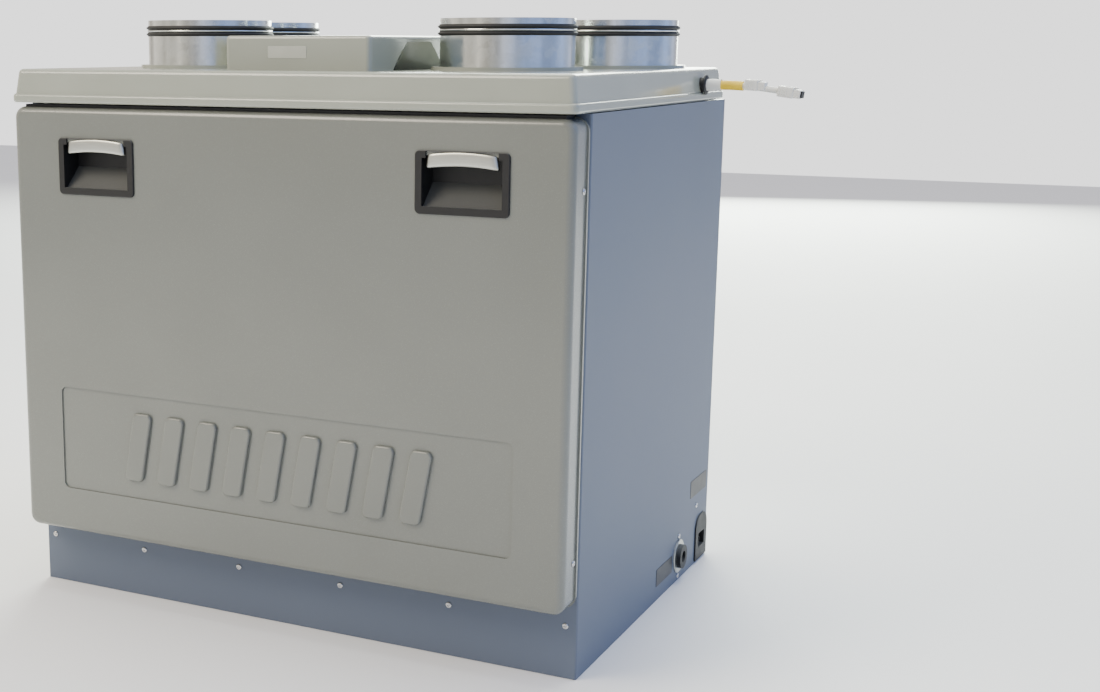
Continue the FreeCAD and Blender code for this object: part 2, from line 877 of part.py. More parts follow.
def door_screws():
    """Chrome screws through the door's side walls into its backing."""
    made = []
    for i, (side, y, z) in enumerate(DOOR_SCREWS):
        way = 1 if side else -1
        made.append(screw("DoorScrew%d" % i, "x", way, (side + "door_half", y, z)))
    part(group("DoorScrews", made), "door_screws")


def door_backing():
    """A steel tray that closes the back of the door."""
    half = "(door_half - door_wall - handle_fit)"
    low = "(door_low + door_wall + handle_fit)"
    high = "(door_high - door_wall - handle_fit)"
    back = DOOR_BACK + " - 2"
    outer = block(
        "BackingOuter", "-" + half, half, back + " - backing_flange", back, low, high
    )
    inner = block(
        "BackingInner",
        "-(%s - thin_sheet)" % half,
        "%s - thin_sheet" % half,
        back + " - backing_flange - 1",
        back + " - thin_sheet",
        low + " + thin_sheet",
        high + " - thin_sheet",
    )
    holes = [
        rod("BackingHole%d" % i, "x", "%sdoor_half - 12" % side, y, z, "screw_hole", "24")
        for i, (side, y, z) in enumerate(DOOR_SCREWS)
    ]
    rounded_tray = less("BackingTray", outer, inner, *holes)
    corners = joined("BackingCorners", *[
        less(
            "BackingCorner%d" % i,
            block(
                "BackingCornerBlock%d" % i,
                x0,
                x0 + " + 20",
                back + " - backing_flange - 2",
                back + " + 2",
                z0,
                z0 + " + 20",
            ),
            rod(
                "BackingCornerRound%d" % i,
                "y",
                cx,
                back + " - backing_flange - 3",
                cz,
                CORNER,
                "backing_flange + 6",
            ),
        )
        for i, (x0, z0, cx, cz) in enumerate(backing_corners(half, low, high))
    ])
    part(less("DoorBacking", rounded_tray, corners), "door_backing")


CORNER = "(door_corner - door_wall)"


def backing_corners(half, low, high):
    """Where each outer corner is cut round: the cutting block's low corner and the round's centre."""
    across = [
        ("(%s - %s)" % (half, CORNER), "%s - %s" % (half, CORNER)),
        ("(-%s + %s - 20)" % (half, CORNER), "-%s + %s" % (half, CORNER)),
    ]
    up = [
        ("(%s - %s)" % (high, CORNER), "%s - %s" % (high, CORNER)),
        ("(%s + %s - 20)" % (low, CORNER), "%s + %s" % (low, CORNER)),
    ]
    return [(x0, z0, x, z) for z0, z in up for x0, x in across]


def door_liner():
    """Foam on the back of the door that closes the cabinet's front opening."""
    half = "(cabinet_width / 2 - flange_width - 12)"
    low = "plinth_height + 4"
    high = "panel_height - deck_flange - 5"
    back = FRONT + " - 4"
    owner = part(body("DoorLiner"), "door_liner")
    drawn = sketch(owner, "door_liner_outline", "XZ", back)
    rectangle(drawn, "-" + half, low, half, high)
    pad(owner, "door_liner_pad", drawn, "front_gap", back=True)
    rounded(owner, "door_liner_corners", lambda e: runs_along(e, "y"), "10")


def door_gasket():
    """A soft strip round the back of the door, clear of the cabinet's flanges, and one along its top edge."""
    half = "(cabinet_width / 2 - flange_width + 4.5)"
    low = "plinth_height - 14"
    high = "panel_height - 14"
    start, end = FRONT + " - 4", FRONT + " - 0.4"
    outer = block("GasketOuter", "-" + half, half, start, end, low, high)
    inner = block(
        "GasketInner",
        "-(%s - gasket_width)" % half,
        "%s - gasket_width" % half,
        start + " - 1",
        end + " + 1",
        low + " + gasket_width",
        high + " - gasket_width",
    )
    share(less("DoorGasket", outer, inner), "door_gasket")
    reach = "door_half - door_corner"
    strip = block(
        "TopStrip",
        "-(%s)" % reach,
        reach,
        DOOR_FACE + " + door_edge",
        DOOR_BACK + " - door_wall - 2",
        "door_high",
        "door_high + strip_height",
    )
    share(strip, "door_gasket")


def handle(side, name):
    """A recessed pull: a black cup with a sloping floor, and a metal grip across the top of its mouth."""
    centre = side + "handle_x"
    face = DOOR_FACE
    half_w, half_h = "handle_width / 2", "handle_height / 2"
    top, bottom = "handle_z + " + half_h, "handle_z - " + half_h
    title = name.title()
    flange = body("HandleFlange" + title)
    drawn = sketch(flange, "handle_flange_" + name, "XZ", face)
    rectangle(drawn, centre + " - " + half_w, bottom, centre + " + " + half_w, top)
    pad(flange, "handle_flange_pad_" + name, drawn, "handle_proud")
    rounded(flange, "handle_flange_corners_" + name, lambda e: runs_along(e, "y"), "handle_border")
    front = number(face + " - handle_proud")
    rounded(flange, "handle_flange_edge_" + name, lambda e: abs(e.BoundBox.YMax - front) < 0.01, "1.2")
    reach = "handle_border + handle_fit"
    cup = block(
        "HandleCup" + title,
        "%s - (%s - %s)" % (centre, half_w, "(" + reach + ")"),
        "%s + (%s - %s)" % (centre, half_w, "(" + reach + ")"),
        face + " - 0.5",
        face + " + handle_depth",
        "%s + (%s)" % (bottom, reach),
        "%s - (%s)" % (top, reach),
    )
    margin = "(handle_border + handle_fit + handle_wall)"
    mouth = block(
        "HandleMouth" + title,
        "%s - (%s - %s)" % (centre, half_w, margin),
        "%s + (%s - %s)" % (centre, half_w, margin),
        face + " - handle_proud - 1",
        face + " + handle_depth - handle_wall",
        "%s + %s" % (bottom, margin),
        "%s - %s" % (top, margin),
    )
    notch = block(
        "HandleNotch" + title,
        centre + " - grip_half",
        centre + " + grip_half",
        face + " - handle_proud - 1",
        face + " - handle_proud + grip_depth",
        top + " - grip_height",
        top + " - 0.8",
    )
    hollow = less("HandleHollow" + title, joined("HandleForm" + title, flange, cup), mouth, notch)
    ramp = body("HandleRamp" + title)
    slope = sketch(ramp, "handle_ramp_" + name, "YZ", centre)
    outline(
        slope,
        [
            (face + " + 3", "%s + %s" % (bottom, margin)),
            (face + " + handle_depth - handle_wall", "%s + %s" % (bottom, margin)),
            (face + " + handle_depth - handle_wall", "handle_z - 2"),
        ],
    )
    pad(ramp, "handle_ramp_pad_" + name, slope, "2 * (%s - %s)" % (half_w, margin), middle=True)
    part(joined("HandleHousing" + title, hollow, ramp), "handle_housing_" + name)
    grip = share(body("HandleGrip" + title), "handle_grips")
    section = sketch(grip, "handle_grip_section_" + name, "YZ", centre)
    outer = face + " - handle_proud - 0.8"
    inner = face + " - handle_proud + grip_depth"
    outline(
        section,
        [
            (outer + " + 0.6", top + " - 0.8"),
            (face, top + " - 0.8"),
            (face, top + " - handle_border - 0.8"),
            (inner, top + " - handle_border - 0.8"),
            (inner, top + " - grip_height + 3"),
            (inner + " - 2.5", top + " - grip_height"),
            (outer + " + 1.5", top + " - grip_height"),
            (outer, top + " - grip_height + 2"),
            (outer, top + " - 2"),
        ],
    )
    pad(grip, "handle_grip_pad_" + name, section, "2 * grip_half", middle=True)


# ---------------------------------------------------------------- exchanger and filters


def mirrored(side, points):
    return points if side > 0 else [("-(%s)" % x, z) for x, z in points]


def slanted(x, z, along, out):
    """A point from a corner of the core: down its upper right slope, then square out from it."""
    run, rise = "core_run / " + SLOPE, "core_rise / " + SLOPE
    return (
        "%s + (%s) * %s + (%s) * %s" % (x, along, run, out, rise),
        "%s - (%s) * %s + (%s) * %s" % (z, along, rise, out, run),
    )


HEXAGON = [
    ("-core_flat", CORE_TOP),
    ("core_flat", CORE_TOP),
    (CORE_TIP, "core_level"),
    ("core_flat", "core_level - core_rise"),
    ("-core_flat", "core_level - core_rise"),
    ("-" + CORE_TIP, "core_level"),
]
GROOVED = [
    ("-(core_flat - 2)", CORE_TOP + " - 3"),
    ("core_flat - 2", CORE_TOP + " - 3"),
    (CORE_TIP + " - 5", "core_level"),
    ("core_flat - 2", "core_level - core_rise + 3"),
    ("-(core_flat - 2)", "core_level - core_rise + 3"),
    ("-(%s - 5)" % CORE_TIP, "core_level"),
]
OUTER_SEAT = "filter_gap + filter_thickness + rail_gap"
SEAT = "filter_end - rail_gap"


def exchanger():
    """A stack of plates with slots between their edges, held between two end caps."""
    owner = part(body("ExchangerCore"), "exchanger_core")
    start = FRONT + " + core_start"
    drawn = sketch(owner, "core_section", "XZ", start)
    outline(drawn, HEXAGON)
    pad(owner, "core_stack", drawn, "core_length", back=True)
    slot = sketch(owner, "core_slot", "XZ", start + " + 3")
    outline(slot, HEXAGON)
    outline(slot, GROOVED)
    cut = pocket(owner, "core_slot_cut", slot, "3")
    rows = owner.newObject("PartDesign::LinearPattern", "core_slots")
    rows.Originals = [cut]
    rows.Direction = ([f for f in owner.Origin.OriginFeatures if f.Role == "Y_Axis"][0], [""])
    tie(rows, "Length", "core_length - 9")
    rows.Occurrences = 30
    owner.Tip = rows
    doc.recompute()
    for name, y in (("front", start + " - cap_thickness"), ("rear", start + " + core_length")):
        cap = share(body("ExchangerCap" + name.title()), "exchanger_caps")
        face = sketch(cap, "cap_section_" + name, "XZ", y)
        outline(face, HEXAGON)
        pad(cap, "cap_pad_" + name, face, "cap_thickness", back=True)
        rounded(cap, "cap_corners_" + name, lambda e: runs_along(e, "y"), "3")
    front = start + " - cap_thickness"
    arch = block(
        "StrapOuter", "-50", "50", front + " - 11", front, "core_level - 12", "core_level + 12"
    )
    inside = block(
        "StrapInner", "-36", "36", front + " - 9", front + " + 1", "core_level - 13", "core_level + 13"
    )
    part(less("ExchangerStrap", arch, inside), "exchanger_strap")


def air_filter(side, name):
    """A flat pleated filter that lies along one of the core's two upper faces."""
    title = name.title()
    depth = "filter_depth"
    frame = less(
        "FilterFrame" + title,
        block("FilterOuter" + title, "0", "filter_length", "0", depth, "0", "filter_thickness"),
        block(
            "FilterWindow" + title,
            "filter_border",
            "filter_length - filter_border",
            "filter_border",
            depth + " - filter_border",
            "-1",
            "filter_thickness + 1",
        ),
    )
    tab = block(
        "FilterTab" + title,
        "filter_length / 2 - 14",
        "filter_length / 2 + 14",
        "-7",
        "0",
        "filter_thickness / 2 - 1.5",
        "filter_thickness / 2 + 1.5",
    )
    whole = part(joined("FilterTabbed" + title, frame, tab), "filter_frame_" + name)
    media = part(body("FilterMedia" + title), "filter_media_" + name)
    drawn = sketch(media, "filter_pleats_" + name, "XZ", "filter_border")
    count = 12
    pitch = "(filter_length - 2 * filter_border) / %d" % count
    lower = [
        ("filter_border + %s * %d" % (pitch, i), "2" if i % 2 else "filter_thickness - 5")
        for i in range(count + 1)
    ]
    upper = [(x, z + " + 3") for x, z in reversed(lower)]
    outline(drawn, lower + upper)
    pad(media, "filter_pleats_pad_" + name, drawn, depth + " - 2 * filter_border", back=True)
    if side > 0:
        x, z = slanted("core_flat", CORE_TOP, "filter_end", "filter_gap")
    else:
        x, z = mirrored(-1, [slanted(CORE_TIP, "core_level", "-filter_end", "filter_gap")])[0]
    for item in (whole, media):
        item.Placement = FreeCAD.Placement(Vector(), FreeCAD.Rotation(Vector(0, 1, 0), side))
        place(item, x, FRONT + " + 19", z)
        tie(item, "Placement.Rotation.Angle", "%satan(core_rise / core_run)" % ("-" if side < 0 else ""))


def shelf(side, name):
    """A foam ledge that carries one side of the core and holds the foot of a filter."""
    points = [
        (CORE_TIP + " + core_gap", "core_level - 8"),
        (LINED, "core_level - 8"),
        (LINED, "core_level + 30"),
        slanted(CORE_TIP, "core_level", "-16", OUTER_SEAT + " + 7"),
        slanted(CORE_TIP, "core_level", "-16", OUTER_SEAT),
        slanted(CORE_TIP, "core_level", "-(%s)" % SEAT, OUTER_SEAT),
        slanted(CORE_TIP, "core_level", "-(%s)" % SEAT, "filter_gap - 2"),
    ]
    owner = share(body("Shelf" + name.title()), "core_shelves")
    drawn = sketch(owner, "shelf_section_" + name, "XZ", FRONT + " + 14")
    outline(drawn, mirrored(side, points))
    pad(owner, "shelf_pad_" + name, drawn, "partition_start - 14", back=True)


def centre_walls():
    """Foam walls over and under the core that part the left air path from the right one."""
    half = [
        ("core_flat - 2", CORE_TOP + " + core_gap"),
        slanted("core_flat", CORE_TOP, "0", "filter_gap - 2"),
        slanted("core_flat", CORE_TOP, SEAT, "filter_gap - 2"),
        slanted("core_flat", CORE_TOP, SEAT, OUTER_SEAT),
        slanted("core_flat", CORE_TOP, "16", OUTER_SEAT),
        slanted("core_flat", CORE_TOP, "16", OUTER_SEAT + " + 7"),
        slanted("core_flat", CORE_TOP, "0", OUTER_SEAT + " + 10"),
        ("10", CORE_TOP + " + 36"),
        ("10", LINED_CEILING),
    ]
    owner = share(body("UpperWall"), "centre_walls")
    drawn = sketch(owner, "upper_wall_section", "XZ", FRONT + " + 14")
    outline(drawn, half + mirrored(-1, half)[::-1])
    pad(owner, "upper_wall_pad", drawn, "partition_start - 14", back=True)
    foot = share(body("LowerWall"), "centre_walls")
    drawn = sketch(foot, "lower_wall_section", "XZ", FRONT + " + 20")
    shoulder = "core_level - core_rise - core_gap"
    outline(
        drawn,
        [
            ("-12", "pan_height + 3"),
            ("12", "pan_height + 3"),
            ("12", "core_level - core_rise - 34"),
            ("55", shoulder + " - 10"),
            ("55", shoulder),
            ("-55", shoulder),
            ("-55", shoulder + " - 10"),
            ("-12", "core_level - core_rise - 34"),
        ],
    )
    pad(foot, "lower_wall_pad", drawn, "partition_start - 20", back=True)
    notch = sketch(foot, "lower_wall_notch", "YZ")
    rectangle(notch, PARTITION + " - 3", "pan_height + 3", PARTITION, "pan_height + tray_height")
    pocket(foot, "lower_wall_notched", notch, "26", middle=True)


# ---------------------------------------------------------------- rear plenum, fans and bypass


def partition():
    """The plate between the exchanger space and the two risers behind it."""
    owner = part(body("PartitionPlate"), "partition_plate")
    drawn = sketch(owner, "partition_outline", "XZ", PARTITION)
    rectangle(drawn, "-" + LINED, "pan_height", LINED, LINED_CEILING)
    pad(owner, "partition_sheet", drawn, "thin_sheet", back=True)
    cuts = sketch(owner, "partition_openings", "XZ", PARTITION)
    for side in ("-", ""):
        circle(cuts, side + "fan_x", "fan_z", "fan_inlet + 5")
    middle = "(-bypass_half - 31)"
    rectangle(cuts, middle + " - bypass_half", "bypass_low", middle + " + bypass_half", "bypass_high")
    pocket(owner, "partition_cut", cuts, "thin_sheet")
    low = "-(divider_offset + divider_thickness / 2)"
    high = "-(divider_offset - divider_thickness / 2)"
    part(
        block("RearDivider", low, high, PLENUM, LINED_REAR, "pan_height", LINED_CEILING), "rear_divider"
    )


def across(side, near, far):
    """Both ends of a span beside the middle plane, in rising order."""
    return (near, far) if side > 0 else ("-(%s)" % far, "-(%s)" % near)


def fan(side, name):
    """A scroll fan behind the partition: housing, inlet ring, motor, shaft and impeller."""
    title = name.title()
    x = "fan_x" if side > 0 else "-fan_x"
    end = PLENUM + " + scroll_depth"
    far = "fan_x + scroll_radius"
    chute = block(
        "ChuteOuter" + title, *across(side, "fan_x - 8", far), PLENUM, end, "fan_z", "fan_z + outlet_rise"
    )
    room = block(
        "ChuteRoom" + title,
        *across(side, "fan_x - 8 + scroll_wall", far + " - scroll_wall"),
        PLENUM + " + scroll_wall",
        end + " - scroll_wall",
        "fan_z",
        "fan_z + outlet_rise + 1",
    )
    drum = rod("Drum" + title, "y", x, PLENUM, "fan_z", "scroll_radius", "scroll_depth")
    drum_room = rod(
        "DrumRoom" + title,
        "y",
        x,
        PLENUM + " + scroll_wall",
        "fan_z",
        "scroll_radius - scroll_wall",
        "scroll_depth - 2 * scroll_wall",
    )
    eye = rod("ScrollEye" + title, "y", x, PLENUM + " - 1", "fan_z", "fan_inlet + 5", "scroll_wall + 2")
    back_hole = rod("ScrollBack" + title, "y", x, end + " - 5", "fan_z", "shaft_radius + 1.5", "10")
    form = joined("ScrollForm" + title, drum, chute)
    part(less("FanHousing" + title, form, room, drum_room, eye, back_hole), "fan_housing_" + name)

    ring = share(body("FanInlet" + title), "fan_inlets")
    drawn = sketch(ring, "fan_inlet_section_" + name, "XY")
    throat = "thin_sheet + scroll_wall + impeller_gap - 3"
    outline(
        drawn,
        [
            ("fan_inlet", throat),
            ("fan_inlet", "4"),
            ("fan_inlet + 1.5", "1"),
            ("fan_inlet + 4", "-1.5"),
            ("fan_inlet + 16", "-1.5"),
            ("fan_inlet + 16", "0"),
            ("fan_inlet + 4.5", "0"),
            ("fan_inlet + 1.5", "4"),
            ("fan_inlet + 1.5", throat),
        ],
    )
    turned(ring, "fan_inlet_turned_" + name, drawn)
    place(ring, x, PARTITION, "fan_z")

    case = rod("MotorCase" + title, "y", x, end, "fan_z", "motor_radius", "motor_length")
    bore = rod(
        "MotorBore" + title, "y", x, end + " - 1", "fan_z", "shaft_radius + running_fit", "motor_length - 5"
    )
    plug = block(
        "MotorPlug" + title,
        x + " - 12",
        x + " + 12",
        end + " + 8",
        end + " + 26",
        "fan_z + motor_radius - 4",
        "fan_z + motor_radius + 10",
    )
    share(less("FanMotor" + title, joined("MotorForm" + title, case, plug), bore), "fan_motors")

    wheel_back = "scroll_wall + impeller_gap + impeller_depth"
    shaft_start = PLENUM + " + " + wheel_back + " - 26"
    shaft_length = "scroll_depth - (%s - 26) + motor_length - 10" % wheel_back
    shaft = rod("FanShaft" + title, "y", x, shaft_start, "fan_z", "shaft_radius", shaft_length)
    share(shaft, "fan_rotor_" + name)
    impeller(side, name, x, wheel_back)


def impeller(side, name, x, wheel_back):
    """Forward-curved blades between a back plate and a rim, turning on the shaft's end."""
    wheel = share(body("FanImpeller" + name.title()), "fan_rotor_" + name)
    plate = sketch(wheel, "impeller_plate_" + name, "XY")
    outline(
        plate,
        [
            ("shaft_radius", "0"),
            ("impeller_radius", "0"),
            ("impeller_radius", "-1.5"),
            ("hub_radius", "-1.5"),
            ("hub_radius", "-22"),
            ("shaft_radius", "-22"),
        ],
    )
    turned(wheel, "impeller_hub_" + name, plate)
    rim = sketch(wheel, "impeller_rim_" + name, "XY")
    rectangle(
        rim, "impeller_radius - 13", "-impeller_depth", "impeller_radius", "-impeller_depth + 1.5"
    )
    blade = sketch(wheel, "impeller_blade_" + name, "XZ", "-impeller_depth + 0.6")
    lean = "4" if side > 0 else "-4"
    outline(
        blade,
        [
            ("-0.6", "impeller_radius - 12"),
            ("0.6", "impeller_radius - 12"),
            ("0.6 + " + lean, "impeller_radius - 0.6"),
            ("-0.6 + " + lean, "impeller_radius - 0.6"),
        ],
    )
    vane = pad(wheel, "impeller_vane_" + name, blade, "impeller_depth - 1.4", back=True)
    vanes = wheel.newObject("PartDesign::PolarPattern", "impeller_vanes_" + name)
    vanes.Originals = [vane]
    vanes.Axis = ([f for f in wheel.Origin.OriginFeatures if f.Role == "Y_Axis"][0], [""])
    vanes.Angle = 360
    tie(vanes, "Occurrences", "blade_count")
    wheel.Tip = vanes
    doc.recompute()
    turned(wheel, "impeller_rim_turned_" + name, rim)
    place(wheel, x, PLENUM + " + " + wheel_back, "fan_z")


def bypass():
    """An opening past the core with a hinged flap behind it."""
    middle = "(-bypass_half - 31)"
    left, right = middle + " - bypass_half", middle + " + bypass_half"
    border = "bypass_border"
    ring = less(
        "BypassRing",
        block(
            "BypassOuter",
            left + " - " + border,
            right + " + " + border,
            PLENUM,
            PLENUM + " + 8",
            "bypass_low - " + border,
            "bypass_high + " + border,
        ),
        block("BypassWindow", left, right, PLENUM + " - 1", PLENUM + " + 9", "bypass_low", "bypass_high"),
    )
    axis_y, axis_z = PLENUM + " + flap_axis", "bypass_high + 3"
    ears = []
    for name, x in (("Left", left + " - " + border), ("Right", right + " + " + border + " - 5")):
        ears.append(
            block(
                "BypassEar" + name,
                x,
                x + " + 5",
                PLENUM + " + 7",
                axis_y + " + 6",
                "bypass_high - 5",
                "bypass_high + " + border,
            )
        )
    pin_hole = rod(
        "BypassPinHole",
        "x",
        left + " - 20",
        axis_y,
        axis_z,
        "flap_shaft + running_fit",
        "2 * bypass_half + 40",
    )
    part(less("BypassFrame", joined("BypassFrameForm", ring, *ears), pin_hole), "bypass_frame")
    plate = block(
        "FlapPlate",
        left + " - 1.5",
        right + " + 1.5",
        PLENUM + " + 8 + flap_gap",
        PLENUM + " + 8 + flap_gap + flap_thickness",
        "bypass_low - 3",
        axis_z,
    )
    pin = rod(
        "FlapPin",
        "x",
        left + " - " + border + " - 3",
        axis_y,
        axis_z,
        "flap_shaft",
        "2 * (bypass_half + bypass_border) + 3",
    )
    part(joined("BypassFlap", plate, pin), "bypass_flap")
    motor = block(
        "FlapMotorCase",
        left + " - " + border + " - 10",
        left + " - " + border,
        PLENUM,
        PLENUM + " + 30",
        "bypass_high - 40",
        "bypass_high + " + border,
    )
    socket = rod(
        "FlapMotorSocket",
        "x",
        left + " - " + border + " - 4",
        axis_y,
        axis_z,
        "flap_shaft + running_fit",
        "8",
    )
    part(less("BypassActuator", motor, socket), "bypass_actuator")


def probes():
    """One temperature probe in each of the four air streams."""
    spots = [
        ("-290", PARTITION + " - 40", "core_level + 130"),
        ("290", PARTITION + " - 40", "core_level + 130"),
        ("-290", PLENUM, "core_level + 130"),
        ("290", PLENUM, "core_level + 130"),
    ]
    rods = [rod("Probe%d" % i, "y", x, y, z, "3", "40") for i, (x, y, z) in enumerate(spots)]
    part(group("TemperatureProbes", rods), "temperature_probes")


# ---------------------------------------------------------------- condensate


def condensate():
    """The tray under the core, its hose through the pan, and the outlet in the right panel."""
    tray = part(body("CondensateTray"), "condensate_tray")
    start, end = FRONT + " + front_gap + 2", PARTITION
    drawn = sketch(tray, "tray_outline", "XY", "pan_height")
    rectangle(drawn, "-tray_half", start, "tray_half", end)
    pad(tray, "tray_pad", drawn, "tray_height")
    rounded(tray, "tray_corners", lambda e: runs_along(e, "z"), "8")
    room = sketch(tray, "tray_room", "XY", "pan_height + tray_height")
    rectangle(room, "-(tray_half - 3)", start + " + 3", "tray_half - 3", end + " - 3")
    pocket(tray, "tray_hollowed", room, "tray_height - 3")
    spout = sketch(tray, "tray_spout", "XY", "pan_height")
    circle(spout, SPOUT[0], SPOUT[1], "hose_radius - 2")
    pad(tray, "tray_spout_pad", spout, "20", back=True)
    hole = sketch(tray, "tray_spout_bore", "XY", "pan_height + 3")
    circle(hole, SPOUT[0], SPOUT[1], "hose_radius - 3.5")
    pocket(tray, "tray_spout_bored", hole, "23")

    level = "drain_z"
    outlet_y = FRONT + " + drain_y"
    inner_end = "cabinet_width / 2 - 30"
    hose = []
    for kind, radius, extra in (("Outer", "hose_radius", "0"), ("Inner", "hose_radius - 1.4", "1")):
        run_out = "%s - %s + %s" % (inner_end, SPOUT[0], extra)
        pieces = [
            rod("Hose%sDown" % kind, "z", *SPOUT, level, radius, "pan_height - 4 - drain_z + " + extra),
            rod("Hose%sBack" % kind, "y", SPOUT[0], SPOUT[1], level, radius, "%s - %s" % (outlet_y, SPOUT[1])),
            rod("Hose%sOut" % kind, "x", SPOUT[0], outlet_y, level, radius, run_out),
        ]
        for i, (x, y) in enumerate((SPOUT, (SPOUT[0], outlet_y))):
            elbow = doc.addObject("Part::Sphere", "Hose%sElbow%d" % (kind, i))
            tie(elbow, "Radius", radius)
            pieces.append(place(elbow, x, y, level))
        hose.append(joined("Hose" + kind, *pieces))
    part(less("CondensateHose", *hose), "condensate_hose")

    outlet = part(body("DrainOutlet"), "drain_outlet")
    section = sketch(outlet, "drain_section", "XZ")
    outline(
        section,
        [
            ("8", "0"),
            ("hose_radius", "0"),
            ("hose_radius", "30 - 4"),
            ("drain_radius", "30 - 4"),
            ("drain_radius", "30 + drain_proud"),
            ("8", "30 + drain_proud"),
        ],
    )
    turned(outlet, "drain_turned", section)
    outlet.Placement = FreeCAD.Placement(Vector(), FreeCAD.Rotation(Vector(0, 1, 0), 90))
    place(outlet, inner_end, outlet_y, level)
    collar = part(body("DrainRing"), "drain_ring")
    section = sketch(collar, "drain_ring_section", "XZ")
    outline(
        section,
        [
            ("drain_radius", "-4"),
            ("drain_hole - 0.3", "-4"),
            ("drain_hole - 0.3", "0"),
            ("drain_hole + 2", "0"),
            ("drain_hole + 2", "1.6"),
            ("drain_hole + 1", "2.2"),
            ("drain_radius", "2.2"),
        ],
    )
    turned(collar, "drain_ring_turned", section)
    collar.Placement = FreeCAD.Placement(Vector(), FreeCAD.Rotation(Vector(0, 1, 0), 90))
    place(collar, HALF, outlet_y, level)


# ---------------------------------------------------------------- electrics and outside details


def mains_inlet():
    """A black socket housing with a rounded top, set in the right panel."""
    owner = share(body("MainsInlet"), "mains_inlet")
    middle = "(%s + inlet_y)" % FRONT
    plate = sketch(owner, "inlet_plate", "YZ", HALF)
    rectangle(plate, middle + " - inlet_half", "inlet_low", middle + " + inlet_half", "inlet_high")
    pad(owner, "inlet_plate_pad", plate, "2")
    top = number("inlet_high")
    rounded(
        owner,
        "inlet_arch",
        lambda e: runs_along(e, "x") and abs(e.CenterOfMass.z - top) < 0.01,
        "inlet_half - 6",
    )
    box = sketch(owner, "inlet_box", "YZ", HALF)
    reach = "(inlet_half - 2.4)"
    rectangle(
        box, "%s - %s" % (middle, reach), "inlet_low + 2.4", "%s + %s" % (middle, reach), "inlet_high - 10.4"
    )
    pad(owner, "inlet_box_pad", box, "inlet_depth", back=True)
    socket = sketch(owner, "inlet_socket", "YZ", HALF + " + 2")
    rectangle(
        socket,
        middle + " - socket_half",
        "drain_z - 14",
        middle + " + socket_half",
        "drain_z - 14 + socket_height",
    )
    pocket(owner, "inlet_socket_cut", socket, "socket_depth")
    for i, (dy, dz) in enumerate((("0", "3"), ("-7", "-3"), ("7", "-3"))):
        pin = block(
            "InletPin%d" % i,
            HALF + " + 2 - socket_depth",
            HALF + " - 2",
            "%s + %s - 1" % (middle, dy),
            "%s + %s + 1" % (middle, dy),
            "drain_z - 6 + %s" % dz,
            "drain_z - 2 + %s" % dz,
        )
        share(pin, "mains_inlet")


def side_details():
    """The screws and blank labels on the outside of the cabinet."""
    for i, (y, z) in enumerate(SIDE_SCREWS):
        share(screw("SideScrew%d" % i, "x", -1, (HALF, y, z)), "case_screws")
    for i in range(6):
        x = "plinth_screw_pitch * %.1f" % (i - 2.5)
        share(screw("PlinthScrew%d" % i, "y", 1, (x, FRONT, "plinth_screw_level")), "case_screws")
    for i, (y0, y1, z0, z1) in enumerate((("435", "510", "100", "124"), ("293", "361", "19", "42"))):
        label = block("SideLabel%d" % i, HALF, HALF + " + 0.4", FRONT + " + " + y0, FRONT + " + " + y1, z0, z1)
        share(label, "blank_labels")
    face = FRONT + " + cover_front"
    share(
        block("CoverLabel", "-38", "14", face + " - 0.4", face, LID_TOP + " + 14", LID_TOP + " + 28"),
        "blank_labels",
    )


def electrics():
    """The control board and its supply, on a tray under the lid's raised cover."""
    deck = "panel_height"
    start, end = FRONT + " + board_start", FRONT + " + board_end"
    outer = block("BoardTrayOuter", "-board_half", "board_half", start, end, deck, deck + " + 22")
    inner = block(
        "BoardTrayInner",
        "-(board_half - 1)",
        "board_half - 1",
        start + " + 1",
        end + " - 1",
        deck + " + 1",
        deck + " + 23",
    )
    corners = [(x, start + along) for along in (" + 20", " + 150") for x in ("-60", "60")]
    posts = [
        rod("BoardPost%d" % i, "z", x, y, deck + " + 0.5", "3", "board_lift - 0.5")
        for i, (x, y) in enumerate(corners)
    ]
    part(joined("BoardTray", less("BoardTrayShell", outer, inner), *posts), "board_tray")
    board_top = deck + " + board_lift + board_thickness"
    board_low = deck + " + board_lift"
    board = block("ControlBoard", "-70", "70", start + " + 10", start + " + 160", board_low, board_top)
    part(board, "control_board")
    chips = [
        block("Chip0", "-20", "10", start + " + 70", start + " + 100", board_top, board_top + " + 3"),
        block("Chip1", "25", "50", start + " + 60", start + " + 92", board_top, board_top + " + 18"),
        block("Chip2", "-58", "-34", start + " + 66", start + " + 96", board_top, board_top + " + 16"),
        rod("Chip3", "z", "40", start + " + 125", board_top, "9", "26"),
        rod("Chip4", "z", "12", start + " + 125", board_top, "7", "22"),
    ]
    for chip in chips:
        share(chip, "board_components")
    strip_top = board_top + " + 15"
    strip = block("TerminalStrip", "-60", "60", start + " + 14", start + " + 30", board_top, strip_top)
    ways = [
        block(
            "TerminalWay%d" % i,
            "10 * %d - 3.5" % (i - 5),
            "10 * %d + 3.5" % (i - 5),
            start + " + 13",
            start + " + 22",
            board_top + " + 3",
            board_top + " + 10",
        )
        for i in range(11)
    ]
    share(less("TerminalBlock", strip, *ways), "board_components")
    supply = block(
        "PowerSupply", "-62", "62", start + " + 180", end + " - 10", deck + " + 1", deck + " + 42"
    )
    part(supply, "power_supply")


